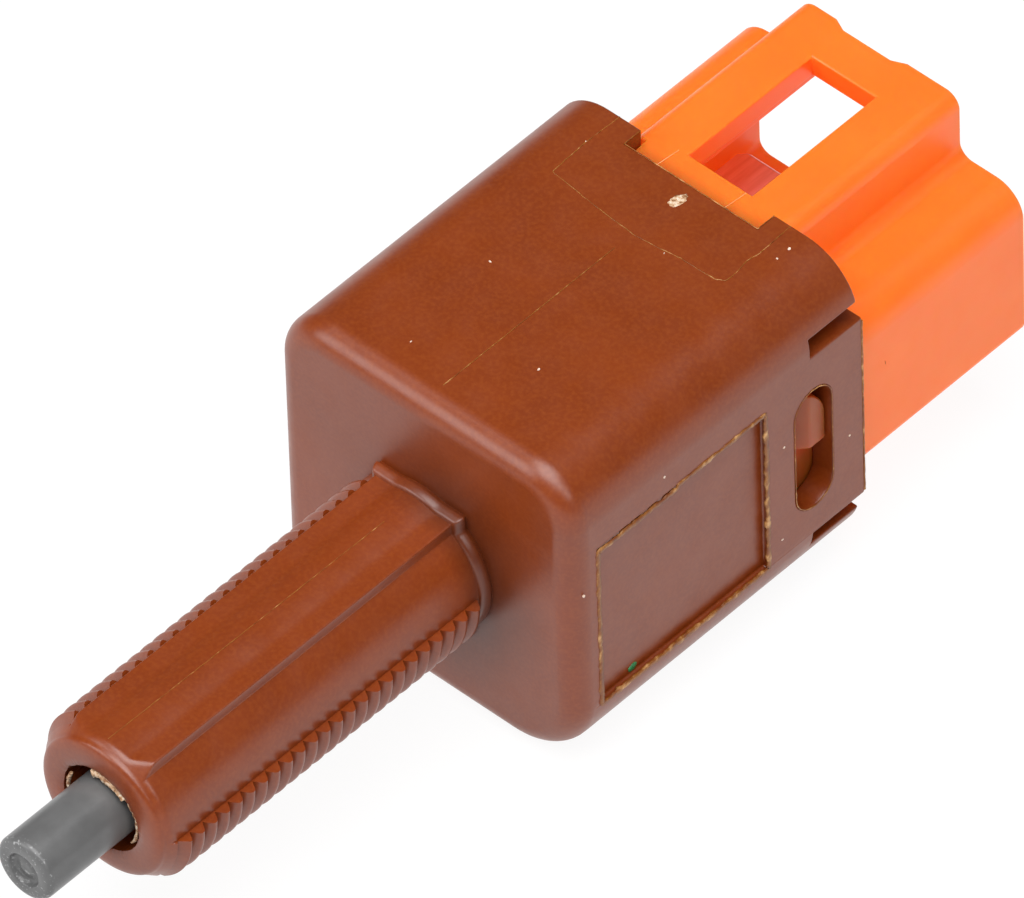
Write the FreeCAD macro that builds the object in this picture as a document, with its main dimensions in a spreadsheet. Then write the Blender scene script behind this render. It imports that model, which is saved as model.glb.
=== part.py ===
import FreeCAD, Part
import Sketcher
import math
import os

# Brake light switch, in millimetres.
# The stem's axis is the Y axis and the front face of the housing is the plane Y = 0. The plunger points
# to -Y, the connector to +Y, and +Z is the side of the connector's latch bridge.

doc = FreeCAD.newDocument("brake_light_switch")

# Driving dimensions
SIZES = {
    # Housing: a rounded square box, open at the rear
    "house_half_width": 11.1,
    "house_top": 11.6,
    "house_bottom": 10.95,
    "house_length": 23.6,
    "house_wall": 1.6,
    "house_upper_radius": 3.7,
    "house_lower_radius": 5.0,
    "house_front_radius": 1.5,
    "tongue_overhang": 0.3,
    # Snap tongues in the side walls, with their slits and slots, measured from the housing's rear edge
    "slit_length": 4.2,
    "upper_slit": 1.35,
    "lower_slit": 1.0,
    "tongue_top": 7.45,
    "tongue_bottom": 6.5,
    "slot_distance": 2.55,
    "slot_width": 3.05,
    "slot_top": 4.85,
    "slot_bottom": 4.3,
    # Notch in the rear of the top wall, label recess in the right wall
    "notch_half_width": 4.95,
    "notch_depth": 1.7,
    "recess_front": 2.1,
    "recess_rear": 15.7,
    "recess_top": 5.95,
    "recess_bottom": 6.33,
    "recess_depth": 0.4,
    # Stem: a core with two lands, two toothed ribs and a collar at its foot
    "stem_length": 26.0,
    "core_radius": 4.75,
    "land_half_width": 2.87,
    "land_height": 4.48,
    "rib_radius": 5.4,
    "rib_angle": 54.0,
    "tooth_pitch": 1.0,
    "tooth_crest": 0.22,
    "tooth_depth": 0.6,
    "collar_length": 0.8,
    "collar_radius": 5.97,
    "collar_half_width": 3.5,
    "collar_height": 5.33,
    "tip_flat_radius": 3.7,
    "tip_shoulder": 0.35,
    "tip_length": 1.5,
    "mouth_radius": 2.8,
    "mouth_depth": 3.0,
    # Plunger
    "plunger_radius": 2.03,
    "plunger_reach": 6.05,
    "plunger_rounding": 0.45,
    "plunger_clearance": 0.06,
    "dimple_radius": 1.05,
    "dimple_floor": 0.6,
    "dimple_depth": 0.35,
    "head_radius": 3.3,
    "head_length": 1.5,
    # Connector base: inner block, shroud and latch bridge
    "block_length": 6.1,
    "seat_gap": 0.1,
    "shroud_half_width": 10.5,
    "shroud_top": 6.1,
    "shroud_bottom": 4.92,
    "shroud_wall": 1.8,
    "shroud_radius": 2.0,
    "shroud_lower_radius": 0.8,
    "shroud_floor": 1.2,
    "base_rear": 37.5,
    "bridge_half_width": 5.85,
    "bridge_top": 10.56,
    "bridge_wall": 1.5,
    "bridge_radius": 1.0,
    "bridge_foot_radius": 0.9,
    "window_half_width": 2.35,
    "window_front": 24.3,
    "window_rear": 34.4,
    "lead_in_half_width": 1.9,
    "lead_in_depth": 0.4,
    # Snap lugs of the base
    "lug_length": 2.55,
    "lug_ramp": 1.3,
    "lug_sink": 0.5,
    "lug_top": 4.1,
    "lug_bottom": 0.3,
    "lug_gap": 0.1,
    "lug_radius": 2.4,
    # Terminals: a blade in the socket, an arm along the side wall and a pad at its end
    "metal": 0.8,
    "blade_inner": 2.1,
    "blade_width": 4.8,
    "blade_level": 0.1,
    "blade_tip": 33.6,
    "blade_bevel": 0.6,
    "web_width": 1.9,
    "web_distance": 0.2,
    "arm_gap": 0.4,
    "arm_half_height": 2.2,
    "pad_front": 4.2,
    "pad_length": 3.4,
    # Contacts
    "button_radius": 1.2,
    "button_distance": 1.9,
    "fixed_button_height": 0.6,
    "moving_button_height": 0.5,
    "strip_metal": 0.6,
    "strip_gap": 0.5,
    "strip_half_height": 1.9,
    # Carrier and springs
    "overtravel": 1.0,
    "carrier_side_gap": 0.6,
    "carrier_wall": 1.5,
    "carrier_gap": 0.3,
    "carrier_rear_wall": 1.6,
    "guide_radius": 2.3,
    "guide_length": 2.4,
    "contact_spring_length": 3.3,
    "contact_spring_radius": 1.45,
    "contact_wire_radius": 0.2,
    "contact_spring_turns": 3.5,
    "return_spring_radius": 3.1,
    "return_wire_radius": 0.28,
    "return_spring_turns": 5.5,
    "coil_steps": 16.0,
    "spring_seat_gap": 0.05,
    "well_gap": 0.5,
    "well_depth": 3.5,
}
sheet = doc.addObject("Spreadsheet::Sheet", "sizes")
for row, (alias, value) in enumerate(SIZES.items(), start=1):
    sheet.set("A%d" % row, alias)
    sheet.set("B%d" % row, "%.4f" % value)
    sheet.setAlias("B%d" % row, alias)
doc.recompute()

# Places along the axis and half sizes that several pieces share, as expressions in the sheet's names
BEYOND = "(2 * #house_half_width + #house_top)"
BEHIND = "(#base_rear + #house_length)"
TOOTH_ROOT = "(#core_radius - #tooth_depth)"
TOOTH_VALLEY = "(#rib_radius - #tooth_depth)"
TOOTH_SLOPE = "((#tooth_pitch - #tooth_crest) / 2)"
TOOTH_COUNT = "floor((#stem_length - #collar_length / 2) / #tooth_pitch)"
SLOT_REAR = "(#house_length - #slot_distance)"
SLOT_FRONT = "(#house_length - #slot_distance - #slot_width)"
NOTCH_FRONT = "(#house_length - #notch_depth)"
BLOCK_FRONT = "(#house_length - #block_length)"
LUG_REAR = "(#house_length - #slot_distance - #lug_gap)"
LUG_FRONT = "(#house_length - #slot_distance - #lug_gap - #lug_length)"
WEB_REAR = "(#house_length - #web_distance)"
WEB_FRONT = "(#house_length - #web_distance - #web_width)"
BLOCK_HALF = "(#house_half_width - #house_wall - #seat_gap)"
BLOCK_TOP = "(#house_top - #house_wall - #seat_gap)"
BLOCK_BOTTOM = "(#house_bottom - #house_wall - #seat_gap)"
SOCKET_HALF = "(#shroud_half_width - #shroud_wall)"
SOCKET_TOP = "(#shroud_top - #shroud_wall)"
SOCKET_BOTTOM = "(#shroud_bottom - #shroud_wall)"
CHANNEL_HALF = "(#bridge_half_width - #bridge_wall)"
WELL_RADIUS = "(#return_spring_radius + #return_wire_radius + #well_gap)"
PLUNGER_TIP = "(-1 * (#stem_length + #plunger_reach))"
PASSAGE_HALF = "(#strip_half_height + #carrier_gap)"
FRAME_HALF = "(#strip_half_height + #carrier_gap + #carrier_wall)"
HEAD_REAR = "(#house_wall + #head_length)"
FIXED_FACE = "(#pad_front + #metal + #fixed_button_height)"
STRIP_FRONT = "(#pad_front + #metal + #fixed_button_height + #moving_button_height)"
STRIP_REAR = "(#pad_front + #metal + #fixed_button_height + #moving_button_height + #strip_metal)"
FRAME_FRONT = "(" + STRIP_FRONT + " - #overtravel)"
FRAME_REAR = "(" + STRIP_REAR + " + #contact_spring_length)"
CARRIER_REAR = "(" + STRIP_REAR + " + #contact_spring_length + #carrier_rear_wall)"
WELL_FLOOR = "(" + BLOCK_FRONT + " + #well_depth)"
SOCKET_FLOOR = "(#house_length + #shroud_floor)"
ARM_OUTER = "(#house_half_width - #house_wall - #arm_gap)"
ARM_INNER = "(" + ARM_OUTER + " - #metal)"
BUTTON_PLACE = "(" + ARM_INNER + " - #button_distance)"
STRIP_HALF = "(" + ARM_INNER + " - #strip_gap)"
CARRIER_HALF = "(" + ARM_INNER + " - #pad_length - #carrier_side_gap)"


def bind(feature, prop, expression):
    """Bind a property to an expression, in which # stands before each name of the sheet."""
    feature.setExpression(prop, expression.replace("#", "sizes."))


def new_body(label):
    body = doc.addObject("PartDesign::Body", label)
    body.Label = label
    return body


def own(body, role):
    """The body's own origin plane or axis with this role."""
    return next(item for item in body.Origin.OriginFeatures if item.Role == role)


def new_sketch(body, name, role, offset="0"):
    """A sketch on one of the body's own planes, moved along that plane's normal."""
    sketch = body.newObject("Sketcher::SketchObject", name)
    sketch.AttachmentSupport = [(own(body, role), "")]
    sketch.MapMode = "FlatFace"
    bind(sketch, "AttachmentOffset.Base.z", offset)
    return sketch


def cross_section(body, name, place):
    """A sketch across the axis at Y = place: its right is +X, its top is +Z, and its normal is -Y."""
    return new_sketch(body, name, "XZ_Plane", "-1 * (" + place + ")")


def hold(sketch, geometry, point, across, along):
    """Hold a point of the sketch at two expressions, measured from the sketch's origin."""
    place = sketch.getPoint(geometry, point)
    for kind, drawn, expression in (("DistanceX", place.x, across), ("DistanceY", place.y, along)):
        number = sketch.addConstraint(Sketcher.Constraint(kind, -1, 1, geometry, point, drawn))
        bind(sketch, "Constraints[%d]" % number, expression)


def outline(sketch, corners):
    """A closed outline of straight lines through the corners, each given by two expressions."""
    count = len(corners)
    angles = [2 * math.pi * number / count for number in range(count)]
    starts = [FreeCAD.Vector(math.cos(angle), math.sin(angle), 0) for angle in angles]
    first = sketch.GeometryCount
    for number in range(count):
        sketch.addGeometry(Part.LineSegment(starts[number], starts[(number + 1) % count]))
    for number in range(count):
        following = (number + 1) % count
        sketch.addConstraint(Sketcher.Constraint("Coincident", first + number, 2, first + following, 1))
        hold(sketch, first + number, 1, *corners[number])


def rectangle(sketch, left, right, bottom, top):
    outline(sketch, [(left, bottom), (right, bottom), (right, top), (left, top)])


def circle(sketch, radius, across="0", along="0"):
    number = sketch.addGeometry(Part.Circle(FreeCAD.Vector(0, 0, 0), FreeCAD.Vector(0, 0, 1), 1.0))
    hold(sketch, number, 3, across, along)
    constraint = sketch.addConstraint(Sketcher.Constraint("Radius", number, 1.0))
    bind(sketch, "Constraints[%d]" % constraint, radius)


def extrusion(body, kind, name, sketch, length, reverse=False, both_ways=False):
    """A Pad or a Pocket of a sketch."""
    feature = body.newObject("PartDesign::" + kind, name)
    feature.Profile = sketch
    feature.Reversed = reverse
    feature.Midplane = both_ways
    bind(feature, "Length", length)
    doc.recompute()
    return feature


def pad_back(body, name, sketch, length):
    """A Pad of a cross-section towards +Y."""
    return extrusion(body, "Pad", name, sketch, length, reverse=True)


def cut_back(body, name, sketch, length):
    """A Pocket of a cross-section towards +Y."""
    return extrusion(body, "Pocket", name, sketch, length)


def turned(body, kind, name, sketch, angle="360"):
    """A Revolution or a Groove of a sketch about the Y axis."""
    feature = body.newObject("PartDesign::" + kind, name)
    feature.Profile = sketch
    feature.ReferenceAxis = (own(body, "Y_Axis"), [""])
    bind(feature, "Angle", angle)
    doc.recompute()
    return feature


def edge_feature(body, kind, name, kept, measure, length):
    """A Fillet or a Chamfer of the edges of the body's last feature that kept(edge) chooses."""
    base = body.Tip
    edges = ["Edge%d" % (number + 1) for number, edge in enumerate(base.Shape.Edges) if kept(edge)]
    feature = body.newObject("PartDesign::" + kind, name)
    feature.Base = (base, edges)
    bind(feature, measure, length)
    doc.recompute()
    return feature


def rounded(body, name, kept, radius):
    return edge_feature(body, "Fillet", name, kept, "Radius", radius)


def bevelled(body, name, kept, leg):
    return edge_feature(body, "Chamfer", name, kept, "Size", leg)


def size(alias):
    return float(sheet.get(alias))


def value(expression):
    """The value of an expression in the sheet's names."""
    return float(sheet.evalExpression(expression.replace("#", "")))


def near(one, other):
    return abs(one - other) < 1e-4


def runs_along(edge, axis):
    """Whether a straight edge runs along an axis: 0 is X, 1 is Y and 2 is Z."""
    if not isinstance(edge.Curve, Part.Line):
        return False
    return near(abs(edge.tangentAt(edge.FirstParameter)[axis]), 1)


def edge_middle(edge):
    return edge.valueAt((edge.FirstParameter + edge.LastParameter) / 2)


def long_slot(sketch, left, right, bottom, top):
    """An upright slot with full round ends between four expressions."""
    half = "(" + right + " - " + left + ") / 2"
    middle = "(" + left + " + " + right + ") / 2"
    radius = value(half)
    upper = FreeCAD.Vector(value(middle), value(top) - radius, 0)
    lower = FreeCAD.Vector(value(middle), value(bottom) + radius, 0)
    side = FreeCAD.Vector(radius, 0, 0)
    normal = FreeCAD.Vector(0, 0, 1)
    first = sketch.GeometryCount
    sketch.addGeometry(Part.ArcOfCircle(Part.Circle(upper, normal, radius), 0, math.pi))
    sketch.addGeometry(Part.LineSegment(upper - side, lower - side))
    sketch.addGeometry(Part.ArcOfCircle(Part.Circle(lower, normal, radius), math.pi, 2 * math.pi))
    sketch.addGeometry(Part.LineSegment(lower + side, upper + side))
    for number in range(4):
        following = (number + 1) % 4
        sketch.addConstraint(Sketcher.Constraint("Tangent", first + number, 2, first + following, 1))
    hold(sketch, first, 3, middle, top + " - " + half)
    hold(sketch, first + 2, 3, middle, bottom + " + " + half)
    number = sketch.addConstraint(Sketcher.Constraint("Radius", first, radius))
    bind(sketch, "Constraints[%d]" % number, half)


def solid_circle_edge(edge, radius):
    """Whether an edge is a circle of this radius."""
    return isinstance(edge.Curve, Part.Circle) and near(edge.Curve.Radius, radius)


def standing_cylinder(label, radius, place, length):
    """A round piece whose axis runs along +Y from a place given by three expressions."""
    feature = doc.addObject("Part::Cylinder", label)
    feature.Label = label
    feature.Placement = FreeCAD.Placement(FreeCAD.Vector(), FreeCAD.Rotation(FreeCAD.Vector(1, 0, 0), -90))
    bind(feature, "Radius", radius)
    bind(feature, "Height", length)
    for letter, expression in zip("xyz", place):
        bind(feature, "Placement.Base." + letter, expression)
    return feature


def mirrored(label, source):
    """The piece's mirror image on the left side."""
    feature = doc.addObject("Part::Mirroring", label)
    feature.Label = label
    feature.Source = source
    feature.Normal = (1, 0, 0)
    return feature


def is_long(edge):
    """Whether a straight edge runs along the axis at the side of the housing or of what fills it."""
    side = size("house_half_width") - size("house_upper_radius")
    return runs_along(edge, 1) and abs(edge_middle(edge).x) > side


def is_upper(edge):
    return is_long(edge) and edge_middle(edge).z > 0


def is_lower(edge):
    return is_long(edge) and edge_middle(edge).z < 0


# Housing
# The box is moulded with four large long corners, a softer front edge and walls of one thickness.
housing = new_body("housing")
box_sketch = cross_section(housing, "box_outline", "0")
rectangle(box_sketch, "-#house_half_width", "#house_half_width", "-#house_bottom", "#house_top")
pad_back(housing, "box", box_sketch, "#house_length")
rounded(housing, "upper_corners", is_upper, "#house_upper_radius")
rounded(housing, "lower_corners", is_lower, "#house_lower_radius")
rounded(housing, "front_edge", lambda edge: near(edge.BoundBox.YMax, 0), "#house_front_radius")
front_edge = housing.Tip
walls = housing.newObject("PartDesign::Thickness", "walls")
rear_faces = [
    "Face%d" % (number + 1)
    for number, face in enumerate(front_edge.Shape.Faces)
    if near(face.BoundBox.YMin, size("house_length"))
]
walls.Base = (front_edge, rear_faces)
walls.Reversed = True
walls.Join = "Intersection"
bind(walls, "Value", "#house_wall")
doc.recompute()

# The rear edge stands back a little from the ends of the two snap tongues.
upper_trim = cross_section(housing, "upper_trim_outline", "#house_length - #tongue_overhang")
rectangle(upper_trim, "-" + BEYOND, BEYOND, "#tongue_top", BEYOND)
cut_back(housing, "upper_trim", upper_trim, "#house_length")
lower_trim = cross_section(housing, "lower_trim_outline", "#house_length - #tongue_overhang")
rectangle(lower_trim, "-" + BEYOND, BEYOND, "-" + BEYOND, "-#tongue_bottom")
cut_back(housing, "lower_trim", lower_trim, "#house_length")

# A slit above and one below each tongue, open to the rear, and a slot in each for the base's lug
slits = new_sketch(housing, "slit_outlines", "YZ_Plane")
rectangle(slits, "#house_length - #slit_length", BEHIND, "#tongue_top", "#tongue_top + #upper_slit")
rectangle(slits, "#house_length - #slit_length", BEHIND, "-#tongue_bottom - #lower_slit", "-#tongue_bottom")
extrusion(housing, "Pocket", "slits", slits, "2 * " + BEYOND, both_ways=True)
slots = new_sketch(housing, "slot_outline", "YZ_Plane")
long_slot(slots, SLOT_FRONT, SLOT_REAR, "-#slot_bottom", "#slot_top")
extrusion(housing, "Pocket", "slots", slots, "2 * " + BEYOND, both_ways=True)

# The notch lets the latch bridge start inside the top wall.
notch = cross_section(housing, "notch_outline", NOTCH_FRONT)
rectangle(notch, "-#notch_half_width", "#notch_half_width", "0", BEYOND)
cut_back(housing, "notch", notch, "#house_length")

# The label recess in the right wall is a shallow bare panel.
recess = new_sketch(housing, "recess_outline", "YZ_Plane", "#house_half_width - #recess_depth")
rectangle(recess, "#recess_front", "#recess_rear", "-#recess_bottom", "#recess_top")
extrusion(housing, "Pocket", "label_recess", recess, "#house_wall", reverse=True)

# Stem: a round core with a land above and one below, standing on a collar of the same outline
collar = cross_section(housing, "collar_outline", "-#collar_length")
circle(collar, "#collar_radius")
pad_back(housing, "collar", collar, "#collar_length + #house_wall / 2")
collar_land = cross_section(housing, "collar_land_outline", "-#collar_length")
rectangle(collar_land, "-#collar_half_width", "#collar_half_width", "-#collar_height", "#collar_height")
pad_back(housing, "collar_land", collar_land, "#collar_length + #house_wall / 2")
core = cross_section(housing, "core_outline", "-#stem_length")
circle(core, "#core_radius")
pad_back(housing, "core", core, "#stem_length")
lands = cross_section(housing, "land_outline", "-#stem_length")
rectangle(lands, "-#land_half_width", "#land_half_width", "-#land_height", "#land_height")
pad_back(housing, "lands", lands, "#stem_length")

# Teeth: one blunt ridge on each side, turned through the rib's angle and repeated along the stem.
# The right rib hangs down from the level of the axis and the left one stands up from it, so that the
# stem engages when it is pushed through a bracket and turned.
teeth_sketch = new_sketch(housing, "tooth_outlines", "XY_Plane")
for side in ("", "-1 * "):
    outline(teeth_sketch, [
        (side + TOOTH_ROOT, "-#stem_length"),
        (side + TOOTH_VALLEY, "-#stem_length"),
        (side + "#rib_radius", "-#stem_length + " + TOOTH_SLOPE),
        (side + "#rib_radius", "-#stem_length + " + TOOTH_SLOPE + " + #tooth_crest"),
        (side + TOOTH_VALLEY, "-#stem_length + #tooth_pitch"),
        (side + TOOTH_ROOT, "-#stem_length + #tooth_pitch"),
    ])
tooth = turned(housing, "Revolution", "tooth", teeth_sketch, "#rib_angle")
teeth = housing.newObject("PartDesign::LinearPattern", "teeth")
teeth.Originals = [tooth]
teeth.Direction = (own(housing, "Y_Axis"), [""])
bind(teeth, "Occurrences", TOOTH_COUNT)
bind(teeth, "Length", "#tooth_pitch * (" + TOOTH_COUNT + " - 1)")
housing.Tip = teeth
doc.recompute()

# The tip is turned to a blunt cone, and the bore widens at its mouth.
tip = new_sketch(housing, "tip_outline", "XY_Plane")
outline(tip, [
    ("#tip_flat_radius", "-#stem_length"),
    ("(#tip_flat_radius + #rib_radius) / 2", "-#stem_length + #tip_shoulder"),
    ("#rib_radius", "-#stem_length + #tip_length"),
    ("2 * #rib_radius", "-#stem_length + #tip_length"),
    ("2 * #rib_radius", "-#stem_length - #tip_length"),
    ("#tip_flat_radius", "-#stem_length - #tip_length"),
])
turned(housing, "Groove", "tip", tip)
bore = cross_section(housing, "bore_outline", "-#stem_length")
circle(bore, "#plunger_radius + #plunger_clearance")
cut_back(housing, "bore", bore, "#stem_length + #house_wall")
mouth = cross_section(housing, "mouth_outline", "-#stem_length")
circle(mouth, "#mouth_radius")
cut_back(housing, "mouth", mouth, "#mouth_depth")

# Connector base
# The shroud stands behind the housing and takes the wiring plug, and the latch bridge spans its top.
moulding = new_body("shroud_moulding")
shroud = cross_section(moulding, "shroud_outline", "#house_length")
rectangle(shroud, "-#shroud_half_width", "#shroud_half_width", "-#shroud_bottom", "#shroud_top")
pad_back(moulding, "shroud", shroud, "#base_rear - #house_length")


def shroud_edge(edge, level):
    place = edge_middle(edge)
    return runs_along(edge, 1) and near(abs(place.x), size("shroud_half_width")) and near(place.z, level)


rounded(moulding, "shoulders", lambda edge: shroud_edge(edge, size("shroud_top")), "#shroud_radius")
rounded(moulding, "shroud_lower_corners", lambda edge: shroud_edge(edge, -size("shroud_bottom")),
        "#shroud_lower_radius")
bridge = cross_section(moulding, "bridge_outline", "#house_length")
rectangle(bridge, "-#bridge_half_width", "#bridge_half_width", "0", "#bridge_top")
pad_back(moulding, "bridge", bridge, "#base_rear - #house_length")


def bridge_edge(edge, level):
    place = edge_middle(edge)
    along_side = runs_along(edge, 1) and near(abs(place.x), size("bridge_half_width"))
    return along_side and near(place.z, level)


rounded(moulding, "bridge_feet", lambda edge: bridge_edge(edge, size("shroud_top")), "#bridge_foot_radius")
rounded(moulding, "bridge_corners", lambda edge: bridge_edge(edge, size("bridge_top")), "#bridge_radius")

# The bridge's front bar reaches into the notch of the housing.
bar = cross_section(moulding, "bar_outline", NOTCH_FRONT + " + #seat_gap")
bar_half = "(#notch_half_width - #seat_gap)"
rectangle(bar, "-1 * " + bar_half, bar_half, "#shroud_top", "#bridge_top")
pad_back(moulding, "front_bar", bar, "#window_front - " + NOTCH_FRONT + " - #seat_gap")

# The socket, the channel under the bridge and the latch window are one hollow.
socket = cross_section(moulding, "socket_outline", SOCKET_FLOOR)
rectangle(socket, "-1 * " + SOCKET_HALF, SOCKET_HALF, "-1 * " + SOCKET_BOTTOM, SOCKET_TOP)
cut_back(moulding, "socket", socket, "#base_rear")


def socket_corner(edge):
    place = edge_middle(edge)
    inside = size("shroud_half_width") - size("shroud_wall")
    return runs_along(edge, 1) and near(abs(place.x), inside) and abs(place.z) < size("shroud_top")


rounded(moulding, "socket_corners", socket_corner, "#shroud_lower_radius")
channel = cross_section(moulding, "channel_outline", SOCKET_FLOOR)
rectangle(channel, "-1 * " + CHANNEL_HALF, CHANNEL_HALF, "0", "#bridge_top - #bridge_wall")
cut_back(moulding, "channel", channel, "#base_rear")
window = new_sketch(moulding, "window_outline", "XY_Plane", "#shroud_top")
rectangle(window, "-#window_half_width", "#window_half_width", "#window_front", "#window_rear")
extrusion(moulding, "Pocket", "window", window, "#bridge_top", reverse=True)
lead_in = new_sketch(moulding, "lead_in_outline", "XY_Plane", "#shroud_top")
rectangle(lead_in, "-#lead_in_half_width", "#lead_in_half_width", "#base_rear - #lead_in_depth", BEHIND)
extrusion(moulding, "Pocket", "lead_in", lead_in, "#bridge_top", reverse=True)

# The inner block fills the rear of the housing, and its corners follow the housing's inside.
inner_block = new_body("inner_block")
block = cross_section(inner_block, "block_outline", BLOCK_FRONT)
rectangle(block, "-1 * " + BLOCK_HALF, BLOCK_HALF, "-1 * " + BLOCK_BOTTOM, BLOCK_TOP)
pad_back(inner_block, "block", block, "#house_length - " + BLOCK_FRONT)
rounded(inner_block, "block_upper_corners", is_upper, "#house_upper_radius - #house_wall")
rounded(inner_block, "block_lower_corners", is_lower, "#house_lower_radius - #house_wall")

# A round well in the front of the block seats the return spring.
well = cross_section(inner_block, "well_outline", BLOCK_FRONT)
circle(well, WELL_RADIUS)
cut_back(inner_block, "spring_well", well, "#well_depth")

# A ramped lug on each side snaps into the slot of its tongue.
lug = new_sketch(inner_block, "lug_outlines", "XY_Plane", "-#lug_bottom")
for side in ("", "-1 * "):
    outline(lug, [
        (side + "(" + BLOCK_HALF + " - #seat_gap)", LUG_FRONT),
        (side + BLOCK_HALF, LUG_FRONT),
        (side + "(#house_half_width - #lug_sink)", LUG_FRONT + " + #lug_ramp"),
        (side + "(#house_half_width - #lug_sink)", LUG_REAR),
        (side + "(" + BLOCK_HALF + " - #seat_gap)", LUG_REAR),
    ])
extrusion(inner_block, "Pad", "lugs", lug, "#lug_top + #lug_bottom")


def lug_corner(edge):
    place = edge_middle(edge)
    return runs_along(edge, 0) and near(place.y, value(LUG_REAR)) and near(place.z, size("lug_top"))


rounded(inner_block, "lug_corners", lug_corner, "#lug_radius")

# Terminals
# Each is one stamping: a blade in the socket, a web in the block, an arm beside the wall and a pad at
# its end.
terminal = new_body("terminal_right")
blade = new_sketch(terminal, "blade_outline", "XY_Plane", "#blade_level")
outline(blade, [
    ("#blade_inner", WEB_FRONT),
    (ARM_OUTER, WEB_FRONT),
    (ARM_OUTER, WEB_REAR),
    ("#blade_inner + #blade_width", WEB_REAR),
    ("#blade_inner + #blade_width", "#blade_tip - #blade_bevel"),
    ("#blade_inner + #blade_width - #blade_bevel", "#blade_tip"),
    ("#blade_inner + #blade_bevel", "#blade_tip"),
    ("#blade_inner", "#blade_tip - #blade_bevel"),
])
extrusion(terminal, "Pad", "blade", blade, "#metal")


def blade_end(edge):
    return near(edge_middle(edge).y, size("blade_tip")) and runs_along(edge, 0)


bevelled(terminal, "blade_end", blade_end, "#metal / 4")
arm = cross_section(terminal, "arm_outline", "#pad_front")
rectangle(arm, ARM_OUTER + " - #metal", ARM_OUTER, "-#arm_half_height", "#arm_half_height")
pad_back(terminal, "arm", arm, WEB_REAR + " - #pad_front")
pad = cross_section(terminal, "pad_outline", "#pad_front")
rectangle(pad, ARM_INNER + " - #pad_length", ARM_OUTER, "-#arm_half_height", "#arm_half_height")
pad_back(terminal, "pad", pad, "#metal")


def bend(edge):
    place = edge_middle(edge)
    return runs_along(edge, 2) and near(place.y, size("pad_front")) and near(place.x, value(ARM_OUTER))


rounded(terminal, "bend", bend, "#metal / 2")
terminal_left = mirrored("terminal_left", terminal)

# The block and the shroud are one moulding, made round the terminals, whose outlines are cut from it.
metalwork = doc.addObject("Part::Fuse", "metalwork")
metalwork.Base = terminal
metalwork.Tool = terminal_left
plastic = doc.addObject("Part::Fuse", "plastic")
plastic.Base = moulding
plastic.Tool = inner_block
plastic.Refine = True
base = doc.addObject("Part::Cut", "base_cut")
base.Label = "connector_base"
base.Base = plastic
base.Tool = metalwork

# Plunger: a turned pin with a head behind the front wall and a dimple in its tip
plunger = new_body("plunger")
pin = new_sketch(plunger, "pin_outline", "XY_Plane")
outline(pin, [
    ("0", PLUNGER_TIP + " + #dimple_depth"),
    ("#dimple_floor", PLUNGER_TIP + " + #dimple_depth"),
    ("#dimple_radius", PLUNGER_TIP),
    ("#plunger_radius", PLUNGER_TIP),
    ("#plunger_radius", "#house_wall"),
    ("#head_radius", "#house_wall"),
    ("#head_radius", HEAD_REAR),
    ("0", HEAD_REAR),
])
turned(plunger, "Revolution", "pin", pin)
reach = size("stem_length") + size("plunger_reach")
rounded(plunger, "tip_edge",
        lambda edge: near(edge.BoundBox.YMax, -reach) and solid_circle_edge(edge, size("plunger_radius")),
        "#plunger_rounding")

# Contact carrier: a frame that the plunger pushes, open from side to side for the contact bridge
carrier = new_body("contact_carrier")
frame = cross_section(carrier, "frame_outline", HEAD_REAR)
rectangle(frame, "-1 * " + CARRIER_HALF, CARRIER_HALF, "-1 * " + FRAME_HALF, FRAME_HALF)
pad_back(carrier, "frame", frame, CARRIER_REAR + " - " + HEAD_REAR)
rounded(carrier, "frame_corners", lambda edge: runs_along(edge, 1), "#carrier_wall / 2")
passage = new_sketch(carrier, "passage_outline", "YZ_Plane")
rectangle(passage, FRAME_FRONT, FRAME_REAR, "-1 * " + PASSAGE_HALF, PASSAGE_HALF)
extrusion(carrier, "Pocket", "passage", passage, "4 * " + CARRIER_HALF, both_ways=True)
guide = cross_section(carrier, "guide_outline", CARRIER_REAR)
circle(guide, "#guide_radius")
pad_back(carrier, "guide", guide, "#guide_length")

# Contact bridge: a flat copper strip across the carrier, with a rivet contact near each end
strip = new_body("contact_bridge")
strip_sketch = cross_section(strip, "strip_outline", STRIP_FRONT)
rectangle(strip_sketch, "-1 * " + STRIP_HALF, STRIP_HALF, "-#strip_half_height", "#strip_half_height")
pad_back(strip, "strip", strip_sketch, "#strip_metal")
rounded(strip, "strip_corners", lambda edge: runs_along(edge, 1), "#strip_half_height / 2")
bridge_button = standing_cylinder(
    "bridge_button_right", "#button_radius", (BUTTON_PLACE, FIXED_FACE, "0"), "#moving_button_height")
fixed_button = standing_cylinder(
    "fixed_button_right", "#button_radius", (BUTTON_PLACE, "#pad_front + #metal", "0"),
    "#fixed_button_height")
bridge_button_left = mirrored("bridge_button_left", bridge_button)
fixed_button_left = mirrored("fixed_button_left", fixed_button)


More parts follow.
